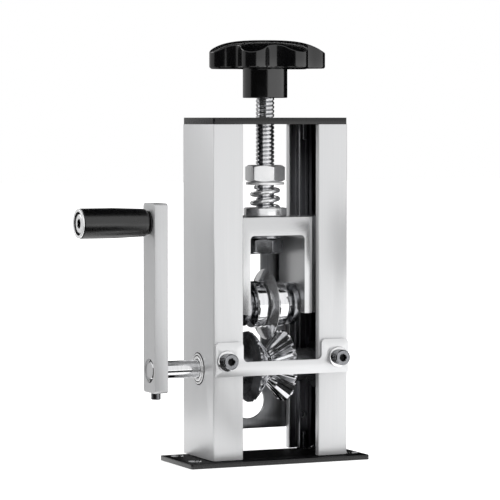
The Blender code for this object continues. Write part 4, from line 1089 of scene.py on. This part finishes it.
studio = dict(floorDrop=0.2, floorReach=6, floor="#F2F2F2", floorLift=0.62, fill=0.85, keyPower=11,
              keySize=1.1, keySpot=(0.9, -1.1, 1.9), above=0.0004, ceiling=1.7, ceilingReach=1.7,
              ceilingBack=0.7, ceilingShade="#1C1C1C", cardSteps=24)
# Flags and cards that only reflections see, on the floor and round the tool: name, from and to in
# degrees right of the camera, radius and height in metres, colour, glow, and what they are made of.
# Dark ones give bright metal its dark edges, white ones its cores.
cards = [
    ("cameraFlag", -80, 13, [(0.09, 0), (1.9, 0), (1.9, 0.8)], "#323232", 1, "felt, dyed charcoal"),
    ("nearFlag", 13, 40, [(0.05, 0), (0.36, 0)], "#3C3C3C", 1, "felt, dyed slate"),
    ("nearCard", -38, 13, [(0.08, 0.118), (0.08, 0.182)], "#FFFFFF", 1, "card, coated white"),
    ("leftCard", -160, -80, [(0.15, 0), (1.9, 0), (1.9, 1.3)], "#C0C0C0", 1, "card, printed pale grey"),
    ("leftLamp", -128, -98, [(1.86, 0.7), (1.86, 1.25)], "#FFFFFF", 4, "cloth diffuser, lit"),
    ("backRightFlag", 112, 200, [(0.15, 0), (1.9, 0), (1.9, 1.3)], "#141414", 1, "felt, dyed black"),
    ("sideFlag", 57, 86, [(0.105, 0.1), (0.105, 0.146)], "#060606", 1, "velvet, dyed black"),
]


def emptyTree(block):
    # Starts a node tree without its ready-made shader.
    block.use_nodes = True
    tree = block.node_tree
    tree.nodes.remove(tree.nodes["Principled BSDF"])
    return tree


def seenDirectly(tree):
    # 1 for rays from the camera, a reflection or a glass, and 0 for the rays that light things.
    path = addNode(tree, "LightPath")
    seen = path.outputs["Is Camera Ray"]
    for name in ("Is Glossy Ray", "Is Transmission Ray"):
        seen = addNode(tree, "Math", {"operation": "MAXIMUM"}, {0: seen, 1: path.outputs[name]}).outputs[0]
    return seen


def staged(name, shape, material):
    mesh = bpy.data.meshes.new(name)
    shape.to_mesh(mesh)
    shape.free()
    mesh.materials.append(material)
    item = bpy.data.objects.new(name, mesh)
    bpy.context.scene.collection.objects.link(item)
    return item


def makeFloor():
    # Board, painted matt white: it takes a faint shadow and otherwise blends with the background.
    material = bpy.data.materials.new("painted board, matt white")
    tree = emptyTree(material)
    lift = addNode(tree, "Math", {"operation": "MULTIPLY", 1: studio["floorLift"]}, {0: seenDirectly(tree)})
    paintCoat = addNode(tree, "BsdfDiffuse", {"Color": linear(studio["floor"])})
    glow = addNode(tree, "Emission", {"Color": (1, 1, 1, 1)}, {"Strength": lift.outputs[0]})
    both = addNode(tree, "AddShader", {}, {0: paintCoat.outputs[0], 1: glow.outputs[0]})
    tree.links.new(both.outputs[0], tree.nodes["Material Output"].inputs["Surface"])
    shape = bmesh.new()
    drop = -studio["floorDrop"] * mm
    reach = studio["floorReach"]
    shape.faces.new([shape.verts.new((x, y, drop)) for x, y in rectangle(-reach, reach, -reach, reach)])
    staged("floor", shape, material)


def hang(name, shape, colour, strength, made):
    material = bpy.data.materials.new(made)
    tree = emptyTree(material)
    glow = addNode(tree, "Emission", {"Color": linear(colour), "Strength": strength})
    tree.links.new(glow.outputs[0], tree.nodes["Material Output"].inputs["Surface"])
    card = staged(name, shape, material)
    card.visible_camera = False
    card.visible_diffuse = False
    card.visible_shadow = False
    card.visible_transmission = False


def makeCards():
    for name, start, end, rim, colour, strength, made in cards:
        shape = bmesh.new()
        columns = []
        for step in range(studio["cardSteps"] + 1):
            angle = math.radians(camera["heading"] - start - (end - start) * step / studio["cardSteps"])
            columns.append([shape.verts.new((-r * math.sin(angle), -r * math.cos(angle),
                                             max(z, studio["above"]))) for r, z in rim])
        for near, far in zip(columns, columns[1:]):
            for low in range(len(near) - 1):
                shape.faces.new((near[low], far[low], far[low + 1], near[low + 1]))
        hang(name, shape, colour, strength, made)
    shape = bmesh.new()
    angle = math.radians(camera["heading"])
    back = studio["ceilingBack"]
    disc = circle(back * math.sin(angle), back * math.cos(angle), studio["ceilingReach"])
    shape.faces.new([shape.verts.new((x, y, studio["ceiling"])) for x, y in disc])
    hang("ceilingFlag", shape, studio["ceilingShade"], 1, "felt, dyed black, stretched overhead")


def makeLight():
    world = bpy.data.worlds.new("studio")
    bpy.context.scene.world = world
    world.use_nodes = True
    tree = world.node_tree
    level = addNode(tree, "MapRange", {"To Min": studio["fill"], "To Max": 1}, {"Value": seenDirectly(tree)})
    tree.nodes["Background"].inputs["Color"].default_value = (1, 1, 1, 1)
    tree.links.new(level.outputs[0], tree.nodes["Background"].inputs["Strength"])
    data = bpy.data.lights.new("key", "AREA")
    data.size = studio["keySize"]
    data.energy = studio["keyPower"]
    key = bpy.data.objects.new("key", data)
    bpy.context.scene.collection.objects.link(key)
    key.location = studio["keySpot"]
    key.rotation_euler = (-key.location).to_track_quat("-Z", "Y").to_euler()
    key.visible_glossy = False


makeFloor()
makeCards()
makeLight()
bpy.context.scene.view_settings.view_transform = "Standard"
print("studio made")
